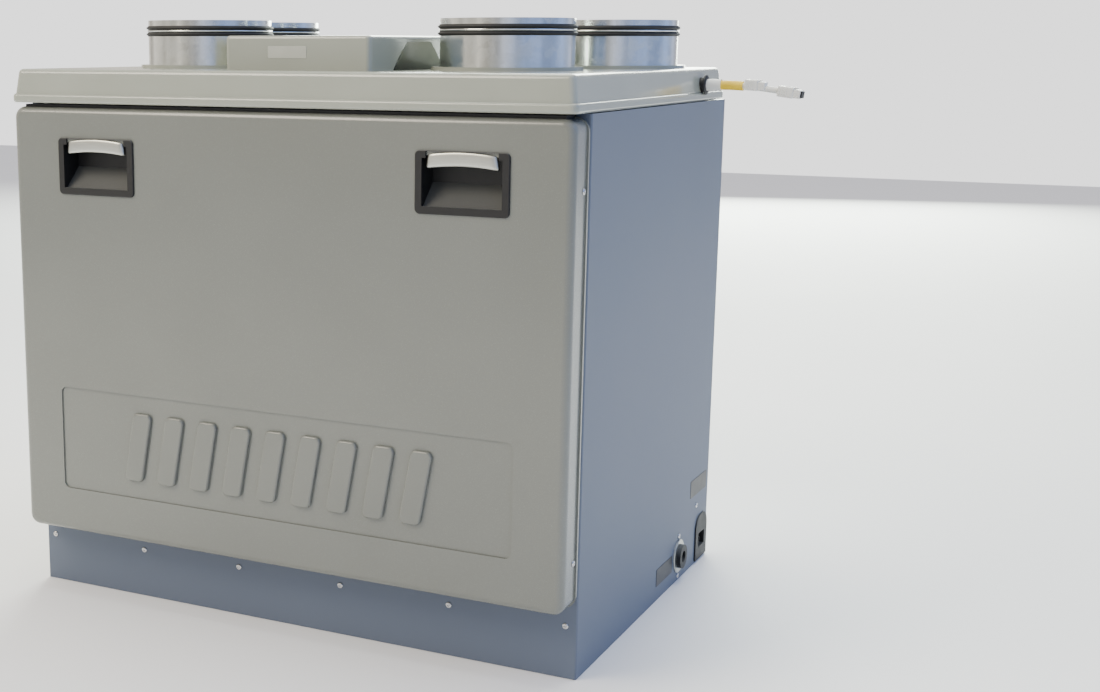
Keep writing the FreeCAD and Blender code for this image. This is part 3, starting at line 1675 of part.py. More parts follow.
def lead_grommet():
    """A rubber-edged gland in the lid's right wall."""
    x, y, z = LEAD
    gland = part(body("LeadGland"), "lead_gland")
    section = sketch(gland, "gland_section", "XZ")
    outline(
        section,
        [
            ("lead_radius", "0"),
            ("sleeve_radius + 2", "0"),
            ("sleeve_radius + 2", "8.5"),
            ("sleeve_radius + 5", "8.5"),
            ("sleeve_radius + 5", "10.5"),
            ("sleeve_radius + 3", "11.5"),
            ("lead_radius", "11.5"),
        ],
    )
    turned(gland, "gland_turned", section)
    gland.Placement = FreeCAD.Placement(Vector(), FreeCAD.Rotation(Vector(0, 1, 0), 90))
    place(gland, x + " - lid_step - 6", y, z)


def route(points):
    """Straight runs joined by tangent arcs, as one wire."""
    edges = []
    start = points[0]
    for before, corner, after in zip(points, points[1:], points[2:]):
        into, out = corner - before, after - corner
        turn = into.getAngle(out)
        reach = 0.45 * min(into.Length, out.Length)
        radius = reach / math.tan(turn / 2)
        print("lead bend radius %.1f" % radius)
        first = corner - into.normalize() * reach
        last = corner + out.normalize() * reach
        middle = corner + (out - into).normalize() * radius * (1 / math.cos(turn / 2) - 1)
        edges.append(Part.LineSegment(start, first).toShape())
        edges.append(Part.Arc(first, middle, last).toShape())
        start = last
    edges.append(Part.LineSegment(start, points[-1]).toShape())
    return Part.Wire(edges)


def flying_lead():
    """A short lead out of the grommet with two sleeves on it and a plug at its end."""
    wall = number(LEAD[0] + " - lid_step - 6")
    x, y, z = wall + 2, number(LEAD[1]), number(LEAD[2])
    steps = [(0, 0, 0), (42, 0, 0), (71, -1, -2), (100, -3, -6)]
    points = [Vector(x + ahead, y + aside, z + up) for ahead, aside, up in steps]
    path = route(points)

    def tube(radius):
        return path.makePipe(Part.Face(Part.Wire(Part.makeCircle(radius, points[0], Vector(1, 0, 0)))))

    cable = tube(SIZES["lead_radius"])
    print("lead volume %.1f of %.1f" % (cable.Volume, math.pi * SIZES["lead_radius"] ** 2 * path.Length))
    print("lead length %.1f" % path.Length)
    made = doc.addObject("Part::Feature", "LeadCable")
    made.Shape = cable
    part(made, "lead_cable")
    start = wall + 11.5
    for label, word in (("lead_sleeve", "sleeve"), ("lead_band", "band")):
        radius, length = SIZES[word + "_radius"], SIZES[word + "_length"]
        slab = Part.makeBox(length, 60, 60, Vector(start, y - 30, z - 30))
        cover = doc.addObject("Part::Feature", "Lead" + word.title())
        cover.Shape = tube(radius).common(slab).cut(cable)
        part(cover, label)
        start += length
    width, height = SIZES["plug_width"], SIZES["plug_height"]
    corner = Vector(start + SIZES["joiner_gap"], y - width / 2, z - height / 2)
    shell = Part.makeBox(SIZES["joiner_length"], width, height, corner)
    shell = shell.makeFillet(1.5, [e for e in shell.Edges if runs_along(e, "x")])
    joiner = doc.addObject("Part::Feature", "LeadJoiner")
    joiner.Shape = shell.cut(cable)
    share(joiner, "lead_plug")
    plug = share(body("LeadPlug"), "lead_plug")
    drawn = sketch(plug, "lead_plug_section", "YZ")
    rectangle(drawn, "-plug_width / 2", "-plug_height / 2", "plug_width / 2", "plug_height / 2")
    pad(plug, "lead_plug_pad", drawn, "plug_length")
    rounded(plug, "lead_plug_edges", lambda e: runs_along(e, "x"), "1.5")
    way = points[-1] - points[-2]
    plug.Placement = FreeCAD.Placement(points[-1], FreeCAD.Rotation(Vector(1, 0, 0), way))


side_panel(-1)
side_panel(1)
rear_panel()
plinth_panel()
base_pan()
top_deck()
liners()
lid_cover()
for label, (centre_x, centre_y) in SPIGOTS.items():
    spigot(label, centre_x, centre_y)
spigot_seals()
door_shell()
door_screws()
door_backing()
door_liner()
door_gasket()
handle("-", "left")
handle("", "right")
exchanger()
for way, label in ((-1, "left"), (1, "right")):
    air_filter(way, label)
    shelf(way, label)
    fan(way, label)
centre_walls()
partition()
bypass()
probes()
condensate()
mains_inlet()
side_details()
electrics()
lead_grommet()
flying_lead()
for label, pieces in shared.items():
    part(group("".join(label.title().split("_")), pieces), label)
doc.recompute()

for item in doc.Objects:
    if "Invalid" in item.State or "Error" in item.State:
        raise RuntimeError("%s: %s" % (item.Name, item.State))
os.makedirs("parts", exist_ok=True)
for label, item in parts.items():
    if item.Shape.isNull() or not item.Shape.isValid():
        raise RuntimeError(label + " has no valid shape")
    item.Shape.exportStep("parts/%s.step" % label)
    print("%-24s %10.1f mm3  %d solids" % (label, item.Shape.Volume, len(item.Shape.Solids)))
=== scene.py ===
import bmesh
import bpy
import json
import math
from mathutils import Matrix, Vector


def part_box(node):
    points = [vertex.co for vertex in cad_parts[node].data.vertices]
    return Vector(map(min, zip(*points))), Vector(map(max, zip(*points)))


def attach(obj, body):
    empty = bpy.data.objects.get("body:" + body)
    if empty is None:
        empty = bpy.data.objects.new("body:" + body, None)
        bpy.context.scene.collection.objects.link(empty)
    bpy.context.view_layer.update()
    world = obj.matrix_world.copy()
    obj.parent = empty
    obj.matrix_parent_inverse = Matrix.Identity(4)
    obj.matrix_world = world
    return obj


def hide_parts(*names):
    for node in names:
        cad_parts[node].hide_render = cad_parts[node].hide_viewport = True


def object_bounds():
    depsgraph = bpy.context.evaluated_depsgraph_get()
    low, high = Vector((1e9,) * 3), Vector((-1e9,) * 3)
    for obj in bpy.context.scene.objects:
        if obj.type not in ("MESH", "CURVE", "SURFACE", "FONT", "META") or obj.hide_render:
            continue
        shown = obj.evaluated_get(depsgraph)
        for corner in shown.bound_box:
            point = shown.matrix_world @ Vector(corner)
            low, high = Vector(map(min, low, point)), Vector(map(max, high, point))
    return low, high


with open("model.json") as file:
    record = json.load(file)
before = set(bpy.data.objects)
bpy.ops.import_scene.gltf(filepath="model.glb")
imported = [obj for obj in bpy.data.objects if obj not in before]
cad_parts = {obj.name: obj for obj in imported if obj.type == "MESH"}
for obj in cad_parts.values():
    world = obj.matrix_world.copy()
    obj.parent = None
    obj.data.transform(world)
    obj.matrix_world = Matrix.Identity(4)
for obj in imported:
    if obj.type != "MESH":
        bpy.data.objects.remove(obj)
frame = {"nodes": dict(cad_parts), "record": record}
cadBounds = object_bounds()
nodes = frame["nodes"]
mm = 0.001

# camera: a little above the lid, seen from the front right
cameraSetup = {
    "place": (0.9461, -1.8437, 0.7047),
    "turn": (78.94, 0.0, 28.39),
    "lens": 51.76,
    "shift": (0.186, 0.007),
}
cameraData = bpy.data.cameras.new("viewCamera")
cameraData.lens = cameraSetup["lens"]
cameraData.sensor_width = 36.0
cameraData.shift_x, cameraData.shift_y = cameraSetup["shift"]
camera = bpy.data.objects.new("viewCamera", cameraData)
camera.location = cameraSetup["place"]
camera.rotation_euler = [math.radians(a) for a in cameraSetup["turn"]]
bpy.context.scene.collection.objects.link(camera)
bpy.context.scene.camera = camera


def linear(hexColour):  # sRGB hex to linear
    parts = [int(hexColour[i:i + 2], 16) / 255 for i in (0, 2, 4)]
    return tuple(c / 12.92 if c <= 0.04045 else ((c + 0.055) / 1.055) ** 2.4 for c in parts) + (1.0,)


def addNode(tree, kind, settings=None, links=None):
    node = tree.nodes.new(kind)
    for key, value in (settings or {}).items():
        if isinstance(key, int) or key in node.inputs:
            node.inputs[key].default_value = value
        else:
            setattr(node, key, value)
    for key, source in (links or {}).items():
        tree.links.new(source, node.inputs[key])
    return node


def newMaterial(name, colour, roughness, metallic=0.0, ior=None):
    material = bpy.data.materials.new(name)
    material.use_nodes = True
    tree = material.node_tree
    shader = tree.nodes["Principled BSDF"]
    shader.inputs["Base Color"].default_value = linear(colour)
    shader.inputs["Roughness"].default_value = roughness
    shader.inputs["Metallic"].default_value = metallic
    if ior:
        shader.inputs["IOR"].default_value = ior
    place = addNode(tree, "ShaderNodeTexCoord").outputs["Object"]
    return material, tree, shader, place


def perMetre(sizeMm):  # texture scale for a feature of that size
    return 1000.0 / sizeMm


def finishWith(tree, shader, height, depthMm, strength=1.0):
    bump = addNode(
        tree, "ShaderNodeBump", {"Strength": strength, "Distance": depthMm * mm}, {"Height": height}
    )
    tree.links.new(bump.outputs["Normal"], shader.inputs["Normal"])


def varied(tree, shader, source, socket, low, high):  # maps a 0..1 texture to a range on one socket
    ramp = addNode(tree, "ShaderNodeMapRange", {"To Min": low, "To Max": high}, {"Value": source})
    tree.links.new(ramp.outputs["Result"], shader.inputs[socket])


def tinted(tree, shader, source, darkHex, lightHex):  # blends two colours by a texture
    mix = addNode(
        tree, "ShaderNodeMix", {"data_type": "RGBA", 6: linear(darkHex), 7: linear(lightHex)}, {0: source}
    )
    tree.links.new(mix.outputs[2], shader.inputs["Base Color"])
    return mix


# powder-coated sheet steel: a soft even sheen, broken by the coat's fine orange peel
powderCoat = {
    "colour": "5a6474",
    "light": "5e6878",
    "dark": "566070",
    "roughness": 0.52,
    "peelMm": 1.6,
    "driftMm": 260,
}


def powderCoatedSteel():
    p = powderCoat
    material, tree, shader, place = newMaterial("powderCoatedSteel", p["colour"], p["roughness"], ior=1.5)
    drift = addNode(
        tree, "ShaderNodeTexNoise", {"Scale": perMetre(p["driftMm"]), "Detail": 3.0}, {"Vector": place}
    )
    tinted(tree, shader, drift.outputs["Fac"], p["dark"], p["light"])
    peel = addNode(
        tree, "ShaderNodeTexNoise", {"Scale": perMetre(p["peelMm"]), "Detail": 2.0}, {"Vector": place}
    )
    varied(tree, shader, drift.outputs["Fac"], "Roughness", p["roughness"] - 0.05, p["roughness"] + 0.07)
    finishWith(tree, shader, peel.outputs["Fac"], 0.05)
    return material


# hot-dip galvanised steel: crystal spangle that changes brightness and gloss from grain to grain
galvanised = {
    "light": "e2e5e2",
    "dark": "cfd3d0",
    "roughness": 0.2,
    "spangleMm": 12,
    "frostMm": 2.2,
    "wanderMm": 6,  # size of the wander that bends the crystals' edges
    "wander": 0.012,
    "grainShare": 0.7,
    "contrast": 0.62,
}


def galvanisedSteel():
    p = galvanised
    material, tree, shader, place = newMaterial("galvanisedSteel", p["light"], p["roughness"], metallic=1.0)
    warp = addNode(
        tree, "ShaderNodeTexNoise", {"Scale": perMetre(p["wanderMm"]), "Detail": 2.0}, {"Vector": place}
    )
    bent = addNode(
        tree,
        "ShaderNodeMix",
        {"data_type": "VECTOR", "factor_mode": "UNIFORM", 0: p["wander"]},
        {4: place, 5: warp.outputs["Color"]},
    )
    spangle = addNode(
        tree, "ShaderNodeTexVoronoi", {"Scale": perMetre(p["spangleMm"])}, {"Vector": bent.outputs[1]}
    )
    grain = addNode(tree, "ShaderNodeSeparateColor", None, {"Color": spangle.outputs["Color"]})
    frost = addNode(
        tree, "ShaderNodeTexNoise", {"Scale": perMetre(p["frostMm"]), "Detail": 3.0}, {"Vector": place}
    )
    both = addNode(
        tree,
        "ShaderNodeMath",
        {"operation": "MULTIPLY_ADD", 1: p["grainShare"]},
        {0: grain.outputs["Red"], 2: frost.outputs["Fac"]},
    )
    soft = addNode(tree, "ShaderNodeMath", {"operation": "MULTIPLY", 1: p["contrast"]}, {0: both.outputs[0]})
    tinted(tree, shader, soft.outputs[0], p["dark"], p["light"])
    varied(tree, shader, grain.outputs["Green"], "Roughness", p["roughness"] - 0.04, p["roughness"] + 0.06)
    finishWith(tree, shader, frost.outputs["Fac"], 0.008)
    return material


# vacuum-formed ABS lid: glossy skin that carries a faint waviness from forming
formedLid = {
    "colour": "9a9e92",
    "dark": "95998d",
    "light": "9ea296",
    "roughness": 0.18,
    "waveMm": 70,
    "grainMm": 0.9,
}
# injection-moulded ABS door: the same plastic with a slightly finer, flatter gloss
mouldedDoor = {
    "colour": "70736c",
    "dark": "6d7069",
    "light": "747770",
    "roughness": 0.25,
    "waveMm": 120,
    "grainMm": 0.8,
}

# what the two share: a thin clear gloss, and a wave that outweighs the grain in the relief
absSkin = {"coat": 0.45, "coatRoughness": 0.12, "waveShare": 12.0, "reliefMm": 0.03}


def glossyAbs(name, p):
    material, tree, shader, place = newMaterial(name, p["colour"], p["roughness"], ior=1.52)
    shader.inputs["Coat Weight"].default_value = absSkin["coat"]
    shader.inputs["Coat Roughness"].default_value = absSkin["coatRoughness"]
    wave = addNode(
        tree, "ShaderNodeTexNoise", {"Scale": perMetre(p["waveMm"]), "Detail": 1.0}, {"Vector": place}
    )
    grain = addNode(
        tree, "ShaderNodeTexNoise", {"Scale": perMetre(p["grainMm"]), "Detail": 2.0}, {"Vector": place}
    )
    tinted(tree, shader, wave.outputs["Fac"], p["dark"], p["light"])
    varied(tree, shader, grain.outputs["Fac"], "Roughness", p["roughness"] - 0.04, p["roughness"] + 0.06)
    height = addNode(
        tree,
        "ShaderNodeMath",
        {"operation": "MULTIPLY_ADD", 1: absSkin["waveShare"]},
        {0: wave.outputs["Fac"], 2: grain.outputs["Fac"]},
    )
    finishWith(tree, shader, height.outputs[0], absSkin["reliefMm"])
    return material


# textured black polypropylene: spark-eroded grain, deep black with a dull sheen
# the last colour is painted light: faces that look up are lightened towards it, standing in for overhead
# light
blackMoulding = {"dark": "08090a", "light": "131415", "roughness": 0.52, "grainMm": 0.7, "paintedTopLight": "565856"}
# grey nylon and hose plastic
greyMoulding = {"dark": "63666a", "light": "7b7e82", "roughness": 0.45, "grainMm": 0.9}
# white PVC insulation and sleeve
whitePvc = {"dark": "d6d6cf", "light": "ecece6", "roughness": 0.38, "grainMm": 1.4}
# yellow shrink sleeve
yellowSleeve = {"dark": "e0b81e", "light": "f5d43a", "roughness": 0.42, "grainMm": 1.4}
# filter frame: pressed white card with short fibres
filterCard = {"dark": "dad6ca", "light": "efece2", "roughness": 0.8, "grainMm": 0.5}
# mixed component cases on the board
componentCase = {"dark": "22303f", "light": "3d5470", "roughness": 0.4, "grainMm": 3.0}
cloudPerGrain = 14  # the colour drifts over patches this many grains wide


def grainedPlastic(name, p, depth=0.06):
    material, tree, shader, place = newMaterial(name, p["light"], p["roughness"], ior=1.49)
    cells = addNode(tree, "ShaderNodeTexVoronoi", {"Scale": perMetre(p["grainMm"])}, {"Vector": place})
    cloud = addNode(
        tree,
        "ShaderNodeTexNoise",
        {"Scale": perMetre(p["grainMm"] * cloudPerGrain), "Detail": 4.0},
        {"Vector": place},
    )
    mixed = tinted(tree, shader, cloud.outputs["Fac"], p["dark"], p["light"])
    if "paintedTopLight" in p:  # painted light: faces that look up are blended towards a lighter grey, standing in for overhead light falling on them
        normal = addNode(tree, "ShaderNodeNewGeometry").outputs["Normal"]
        facing = addNode(tree, "ShaderNodeSeparateXYZ", None, {"Vector": normal})
        paintedTopMask = addNode(
            tree, "ShaderNodeMapRange", {"From Min": 0.15, "From Max": 0.95}, {"Value": facing.outputs["Z"]}
        )
        # painted light: mixes the lighter grey in by how far the face points up
        paintedTopLit = addNode(
            tree,
            "ShaderNodeMix",
            {"data_type": "RGBA", 7: linear(p["paintedTopLight"])},
            {0: paintedTopMask.outputs["Result"], 6: mixed.outputs[2]},
        )
        tree.links.new(paintedTopLit.outputs[2], shader.inputs["Base Color"])
    varied(tree, shader, cloud.outputs["Fac"], "Roughness", p["roughness"] - 0.07, p["roughness"] + 0.1)
    finishWith(tree, shader, cells.outputs["Distance"], depth, 0.6)
    return material


# EPDM rubber: nearly black, matte, with a dusty bloom on its ridges
rubberSeal = {"dark": "08090a", "light": "1c1d1e", "roughness": 0.62, "bloomMm": 12, "skinMm": 0.6}


def epdmRubber():
    p = rubberSeal
    material, tree, shader, place = newMaterial("epdmRubber", p["light"], p["roughness"], ior=1.52)
    bloom = addNode(
        tree, "ShaderNodeTexNoise", {"Scale": perMetre(p["bloomMm"]), "Detail": 6.0}, {"Vector": place}
    )
    tinted(tree, shader, bloom.outputs["Fac"], p["dark"], p["light"])
    varied(tree, shader, bloom.outputs["Fac"], "Roughness", p["roughness"] - 0.12, p["roughness"] + 0.1)
    fine = addNode(tree, "ShaderNodeTexNoise", {"Scale": perMetre(p["skinMm"])}, {"Vector": place})
    finishWith(tree, shader, fine.outputs["Fac"], 0.03)
    return material


# satin anodised aluminium: drawn along its length, so the gloss streaks
satinGrip = {"dark": "b3b5ae", "light": "cdcfc8", "roughness": 0.34, "streakMm": 0.5, "stretch": 0.03}


def anodisedAluminium():
    p = satinGrip
    material, tree, shader, place = newMaterial("anodisedAluminium", p["light"], p["roughness"], metallic=1.0)
    along = addNode(tree, "ShaderNodeMapping", {"Scale": (p["stretch"], 1.0, 1.0)}, {"Vector": place})
    streak = addNode(
        tree,
        "ShaderNodeTexNoise",
        {"Scale": perMetre(p["streakMm"]), "Detail": 3.0},
        {"Vector": along.outputs["Vector"]},
    )
    tinted(tree, shader, streak.outputs["Fac"], p["dark"], p["light"])
    varied(tree, shader, streak.outputs["Fac"], "Roughness", p["roughness"] - 0.06, p["roughness"] + 0.1)
    finishWith(tree, shader, streak.outputs["Fac"], 0.015)
    return material


# nickel-plated steel screws: bright with fine turning marks
nickelScrew = {"dark": "a6a7a8", "light": "dcdcdb", "roughness": 0.16, "markMm": 0.35}
# die-cast aluminium motor shell: dull, slightly pitted
castShell = {"dark": "75787b", "light": "96999c", "roughness": 0.48, "markMm": 1.1}


def brightMetal(name, p, depth=0.01):
    material, tree, shader, place = newMaterial(name, p["light"], p["roughness"], metallic=1.0)
    marks = addNode(
        tree, "ShaderNodeTexNoise", {"Scale": perMetre(p["markMm"]), "Detail": 4.0}, {"Vector": place}
    )
    tinted(tree, shader, marks.outputs["Fac"], p["dark"], p["light"])
    varied(tree, shader, marks.outputs["Fac"], "Roughness", p["roughness"] - 0.05, p["roughness"] + 0.12)
    finishWith(tree, shader, marks.outputs["Fac"], depth)
    return material


# expanded polypropylene foam: fused beads with darker joins and a matte skin
beadFoam = {"join": "141517", "dark": "24262a", "light": "33363a", "roughness": 0.85, "beadMm": 4.2}


def expandedFoam():
    p = beadFoam
    material, tree, shader, place = newMaterial("expandedPolypropylene", p["light"], p["roughness"], ior=1.46)
    beads = addNode(tree, "ShaderNodeTexVoronoi", {"Scale": perMetre(p["beadMm"])}, {"Vector": place})
    edges = addNode(
        tree,
        "ShaderNodeTexVoronoi",
        {"feature": "DISTANCE_TO_EDGE", "Scale": perMetre(p["beadMm"])},
        {"Vector": place},
    )
    tone = addNode(tree, "ShaderNodeSeparateColor", None, {"Color": beads.outputs["Color"]})
    mixed = tinted(tree, shader, tone.outputs["Red"], p["dark"], p["light"])
    rim = addNode(tree, "ShaderNodeMapRange", {"From Max": 0.09}, {"Value": edges.outputs["Distance"]})
    deep = addNode(
        tree,
        "ShaderNodeMix",
        {"data_type": "RGBA", 6: linear(p["join"])},
        {0: rim.outputs["Result"], 7: mixed.outputs[2]},
    )
    tree.links.new(deep.outputs[2], shader.inputs["Base Color"])
    finishWith(tree, shader, rim.outputs["Result"], 0.25, 0.7)
    return material


# polystyrene plate stack: pale film edges, with painted shade for the air slot between them
wavesPerUnit = 20  # a wave texture fits about this many bands in one unit at scale 1
plateStack = {"slot": "6f7a7d", "plate": "dfe6e7", "roughness": 0.3, "pitchMm": 2.6}


def plateStackFilm():
    p = plateStack
    material, tree, shader, place = newMaterial("polystyrenePlateStack", p["plate"], p["roughness"], ior=1.59)
    wave = addNode(
        tree,
        "ShaderNodeTexWave",
        {"bands_direction": "Y", "Scale": perMetre(p["pitchMm"]) / wavesPerUnit, "Distortion": 0.15},
        {"Vector": place},
    )
    # the slot colour is painted shade: dark bands that stand in for the shade inside the air gaps between the
    # plates
    tinted(tree, shader, wave.outputs["Fac"], p["slot"], p["plate"])
    varied(tree, shader, wave.outputs["Fac"], "Roughness", p["roughness"], p["roughness"] + 0.3)
    finishWith(tree, shader, wave.outputs["Fac"], 0.6)
    return material


# pleated polyester fleece: crossed soft fibres
filterFleece = {"dark": "cfd2cd", "light": "eef0ec", "roughness": 0.95, "fibreMm": 0.9}
# woven polypropylene webbing: twill ribs across the strap
strapWeb = {"dark": "121c2e", "light": "2d4166", "roughness": 0.8, "fibreMm": 1.6}
clothLook = {"sheen": 0.25, "sheenRoughness": 0.6, "wander": 1.2, "fuzzPerFibre": 5}


def wovenCloth(name, p, depth):
    material, tree, shader, place = newMaterial(name, p["light"], p["roughness"], ior=1.46)
    warp = addNode(
        tree,
        "ShaderNodeTexWave",
        {
            "bands_direction": "X",
            "Scale": perMetre(p["fibreMm"]) / wavesPerUnit,
            "Distortion": clothLook["wander"],
        },
        {"Vector": place},
    )
    weft = addNode(
        tree,
        "ShaderNodeTexWave",
        {
            "bands_direction": "Z",
            "Scale": perMetre(p["fibreMm"]) / wavesPerUnit,
            "Distortion": clothLook["wander"],
        },
        {"Vector": place},
    )
    cross = addNode(
        tree, "ShaderNodeMath", {"operation": "MULTIPLY"}, {0: warp.outputs["Fac"], 1: weft.outputs["Fac"]}
    )
    fuzz = addNode(
        tree,
        "ShaderNodeTexNoise",
        {"Scale": perMetre(p["fibreMm"] * clothLook["fuzzPerFibre"]), "Detail": 6.0},
        {"Vector": place},
    )
    both = addNode(
        tree,
        "ShaderNodeMath",
        {"operation": "MULTIPLY_ADD", 1: 0.5},
        {0: cross.outputs[0], 2: fuzz.outputs["Fac"]},
    )
    tinted(tree, shader, both.outputs[0], p["dark"], p["light"])
    shader.inputs["Sheen Weight"].default_value = clothLook["sheen"]
    shader.inputs["Sheen Roughness"].default_value = clothLook["sheenRoughness"]
    finishWith(tree, shader, both.outputs[0], depth)
    return material


# epoxy board: green solder mask over faint copper tracks
solderMask = {"mask": "17502f", "track": "2a7446", "roughness": 0.28, "trackMm": 5.0}


def epoxyBoard():
    p = solderMask
    material, tree, shader, place = newMaterial("epoxyLaminate", p["mask"], p["roughness"], ior=1.55)
    cells = addNode(
        tree,
        "ShaderNodeTexVoronoi",
        {"feature": "DISTANCE_TO_EDGE", "Scale": perMetre(p["trackMm"])},
        {"Vector": place},
    )
    lines = addNode(tree, "ShaderNodeMapRange", {"From Max": 0.08}, {"Value": cells.outputs["Distance"]})
    tinted(tree, shader, lines.outputs["Result"], p["track"], p["mask"])
    finishWith(tree, shader, lines.outputs["Result"], 0.04)
    return material


# blank polyester label film: dull faces with a slight sheen, one near-black and one pale
labelFilm = {"dark": "14161c", "light": "1d2027", "roughness": 0.4, "grainMm": 1.0}
paleFilm = {"dark": "aeb0a6", "light": "b9bbb0", "roughness": 0.35, "grainMm": 1.0}

finishes = {
    "coated_sheet": powderCoatedSteel(),
    "galvanised_sheet": galvanisedSteel(),
    "lid_plastic": glossyAbs("vacuumFormedAbs", formedLid),
    "door_plastic": glossyAbs("injectionMouldedAbs", mouldedDoor),
    "black_plastic": grainedPlastic("texturedPolypropylene", blackMoulding),
    "grey_plastic": grainedPlastic("greyNylon", greyMoulding),
    "white_sleeve": grainedPlastic("whitePvc", whitePvc, 0.03),
    "yellow_sleeve": grainedPlastic("yellowShrinkSleeve", yellowSleeve, 0.03),
    "filter_card": grainedPlastic("pressedCard", filterCard, 0.08),
    "part_plastic": grainedPlastic("componentCases", componentCase, 0.03),
    "label_film": grainedPlastic("polyesterLabelFilm", labelFilm, 0.01),
    "seal_rubber": epdmRubber(),
    "grip_metal": anodisedAluminium(),
    "screw_chrome": brightMetal("nickelPlatedSteel", nickelScrew),
    "motor_case": brightMetal("dieCastAluminium", castShell, 0.05),
    "liner_foam": expandedFoam(),
    "exchanger_film": plateStackFilm(),
    "filter_cloth": wovenCloth("pleatedFleece", filterFleece, 0.25),
    "strap_webbing": wovenCloth("polypropyleneWebbing", strapWeb, 0.3),
    "board_laminate": epoxyBoard(),
}
paleLabel = grainedPlastic("paleLabelFilm", paleFilm, 0.01)
for part in frame["record"]["subparts"]:
    surface = nodes[part["node"]].data.materials
    surface.clear()
    surface.append(finishes[part["material_slot"]])
print("finishes on", len(nodes), "nodes")


def solidBoxes(node):  # lowest and highest corner of each separate solid in a node
    mesh = bmesh.new()
    mesh.from_mesh(nodes[node].data)
    bmesh.ops.remove_doubles(mesh, verts=mesh.verts, dist=0.001 * mm)
    left, boxes = set(mesh.verts), []
    while left:
        found = [left.pop()]
        for vert in found:  # grows until the whole solid is in it
            near = [edge.other_vert(vert) for edge in vert.link_edges]
            fresh = [other for other in near if other in left]
            left.difference_update(fresh)
            found.extend(dict.fromkeys(fresh))
        spots = [vert.co.copy() for vert in found]
        boxes.append([Vector([pick(c[i] for c in spots) for i in range(3)]) for pick in (min, max)])
    mesh.free()
    return sorted(boxes, key=lambda box: [round(c, 4) for c in box[0]])


def addPiece(name, mesh, slot, body, *replaced):
    data = bpy.data.meshes.new(name)
    bmesh.ops.recalc_face_normals(mesh, faces=mesh.faces)
    mesh.to_mesh(data)
    mesh.free()
    data.shade_smooth()
    data.materials.append(finishes[slot])
    piece = bpy.data.objects.new(name, data)
    bpy.context.scene.collection.objects.link(piece)
    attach(piece, body)
    if replaced:
        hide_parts(*replaced)
    return piece


# spins (radius, height) pairs about the axis; a profile that never meets the axis is closed on itself
def turnProfile(mesh, profile, spokes, place, dent=None):
    rings = []
    for radius, height in profile:
        if radius == 0:
            rings.append([mesh.verts.new(place @ Vector((0, 0, height - (dent(0, 0) if dent else 0))))])
            continue
        ring = []
        for i in range(spokes):
            turn = 2 * math.pi * i / spokes
            x, y = radius * math.cos(turn), radius * math.sin(turn)
            ring.append(mesh.verts.new(place @ Vector((x, y, height - (dent(x, y) if dent else 0)))))
        rings.append(ring)
    pairs = list(zip(rings, rings[1:]))
    if profile[0][0] and profile[-1][0]:
        pairs.append((rings[-1], rings[0]))
    for inner, outer in pairs:
        for i in range(spokes):
            j = (i + 1) % spokes
            if len(inner) == 1:
                mesh.faces.new((inner[0], outer[i], outer[j]))
            elif len(outer) == 1:
                mesh.faces.new((inner[i], outer[0], inner[j]))
            else:
                mesh.faces.new((inner[i], outer[i], outer[j], inner[j]))


# pan-head screws with a cross recess
panHead = {
    "height": 1.8 * mm,
    "shank": 2 * mm,
    "crossLong": 2.1 * mm,
    "crossWide": 0.5 * mm,
    "crossDeep": 1.0 * mm,
    "crossReach": 0.8,  # the recess ends at this share of the head's radius
    "wall": 0.4,  # width of the recess's sloping wall, as a share of its own width
    "roundness": (3.2, 0.55),  # powers that shape the head from rim to crown
    "shankEnds": (0.6, 0.75),  # where the shank's side and its point end, as shares of the screw
    "rings": 14,
    "spokes": 40,
}


def crossDent(x, y):
    p = panHead
    long, wide = p["crossLong"], p["crossWide"]
    arms = ((abs(x), abs(y)), (abs(y), abs(x)))
    inside = max(min((long - a) / wide, (wide - b) / (p["wall"] * wide), 1) for a, b in arms)
    return p["crossDeep"] * max(inside, 0) * (1 - 0.35 * math.hypot(x, y) / long)  # shallower at its ends


def addScrews(name, node, body):
    p = panHead
    mesh = bmesh.new()
    for low, high in solidBoxes(node):
        size = high - low
        along = max(range(3), key=lambda i: size[i])
        middle = (low + high) / 2
        way = Vector([math.copysign(1, middle[i]) if i == along else 0 for i in range(3)])
        radius = min(size) / 2
        base = middle + way * (size[along] / 2 - p["height"])
        place = Matrix.Translation(base) @ way.to_track_quat("Z", "Y").to_matrix().to_4x4()
        steps = [i / p["rings"] for i in range(p["rings"] + 1)]
        rimward, crownward = p["roundness"]
        profile = [(radius * t, p["height"] * (1 - t ** rimward) ** crownward) for t in steps]
        side, point = p["shankEnds"]
        profile += [(p["shank"], 0), (p["shank"], -side * size[along]), (0, -point * size[along])]
        reach = radius * p["crossReach"]
        turnProfile(
            mesh, profile, p["spokes"], place, lambda x, y: crossDent(x, y) if math.hypot(x, y) < reach else 0
        )
    return addPiece(name, mesh, "screw_chrome", body, node)


addScrews("doorScrews", "door_screws", "door")
addScrews("caseScrews", "case_screws", "cabinet")

# double-lip duct seals, each held by a crimped steel bead between its lips
ductSeal = {
    "seat": 79.2 * mm,
    "band": 80.7 * mm,
    "valley": 80.2 * mm,
    "lipShort": 0.1 * mm,  # the lips stop this far inside the plain seal's radius
    "crimpOut": 0.9 * mm,
    "crimpHalf": 1.3 * mm,
    "crimpSunk": 0.3 * mm,
    "crimpSteps": 8,
    "spokes": 128,
}
lowerHalf = (  # one lip's section, foot to middle: its radius, and its height as a share of the seal
    ("seat", 0),
    ("band", 0),
    ("band", 0.06),
    ("lip", 0.15),
    ("lip", 0.24),
    ("band", 0.33),
    ("valley", 0.36),
)


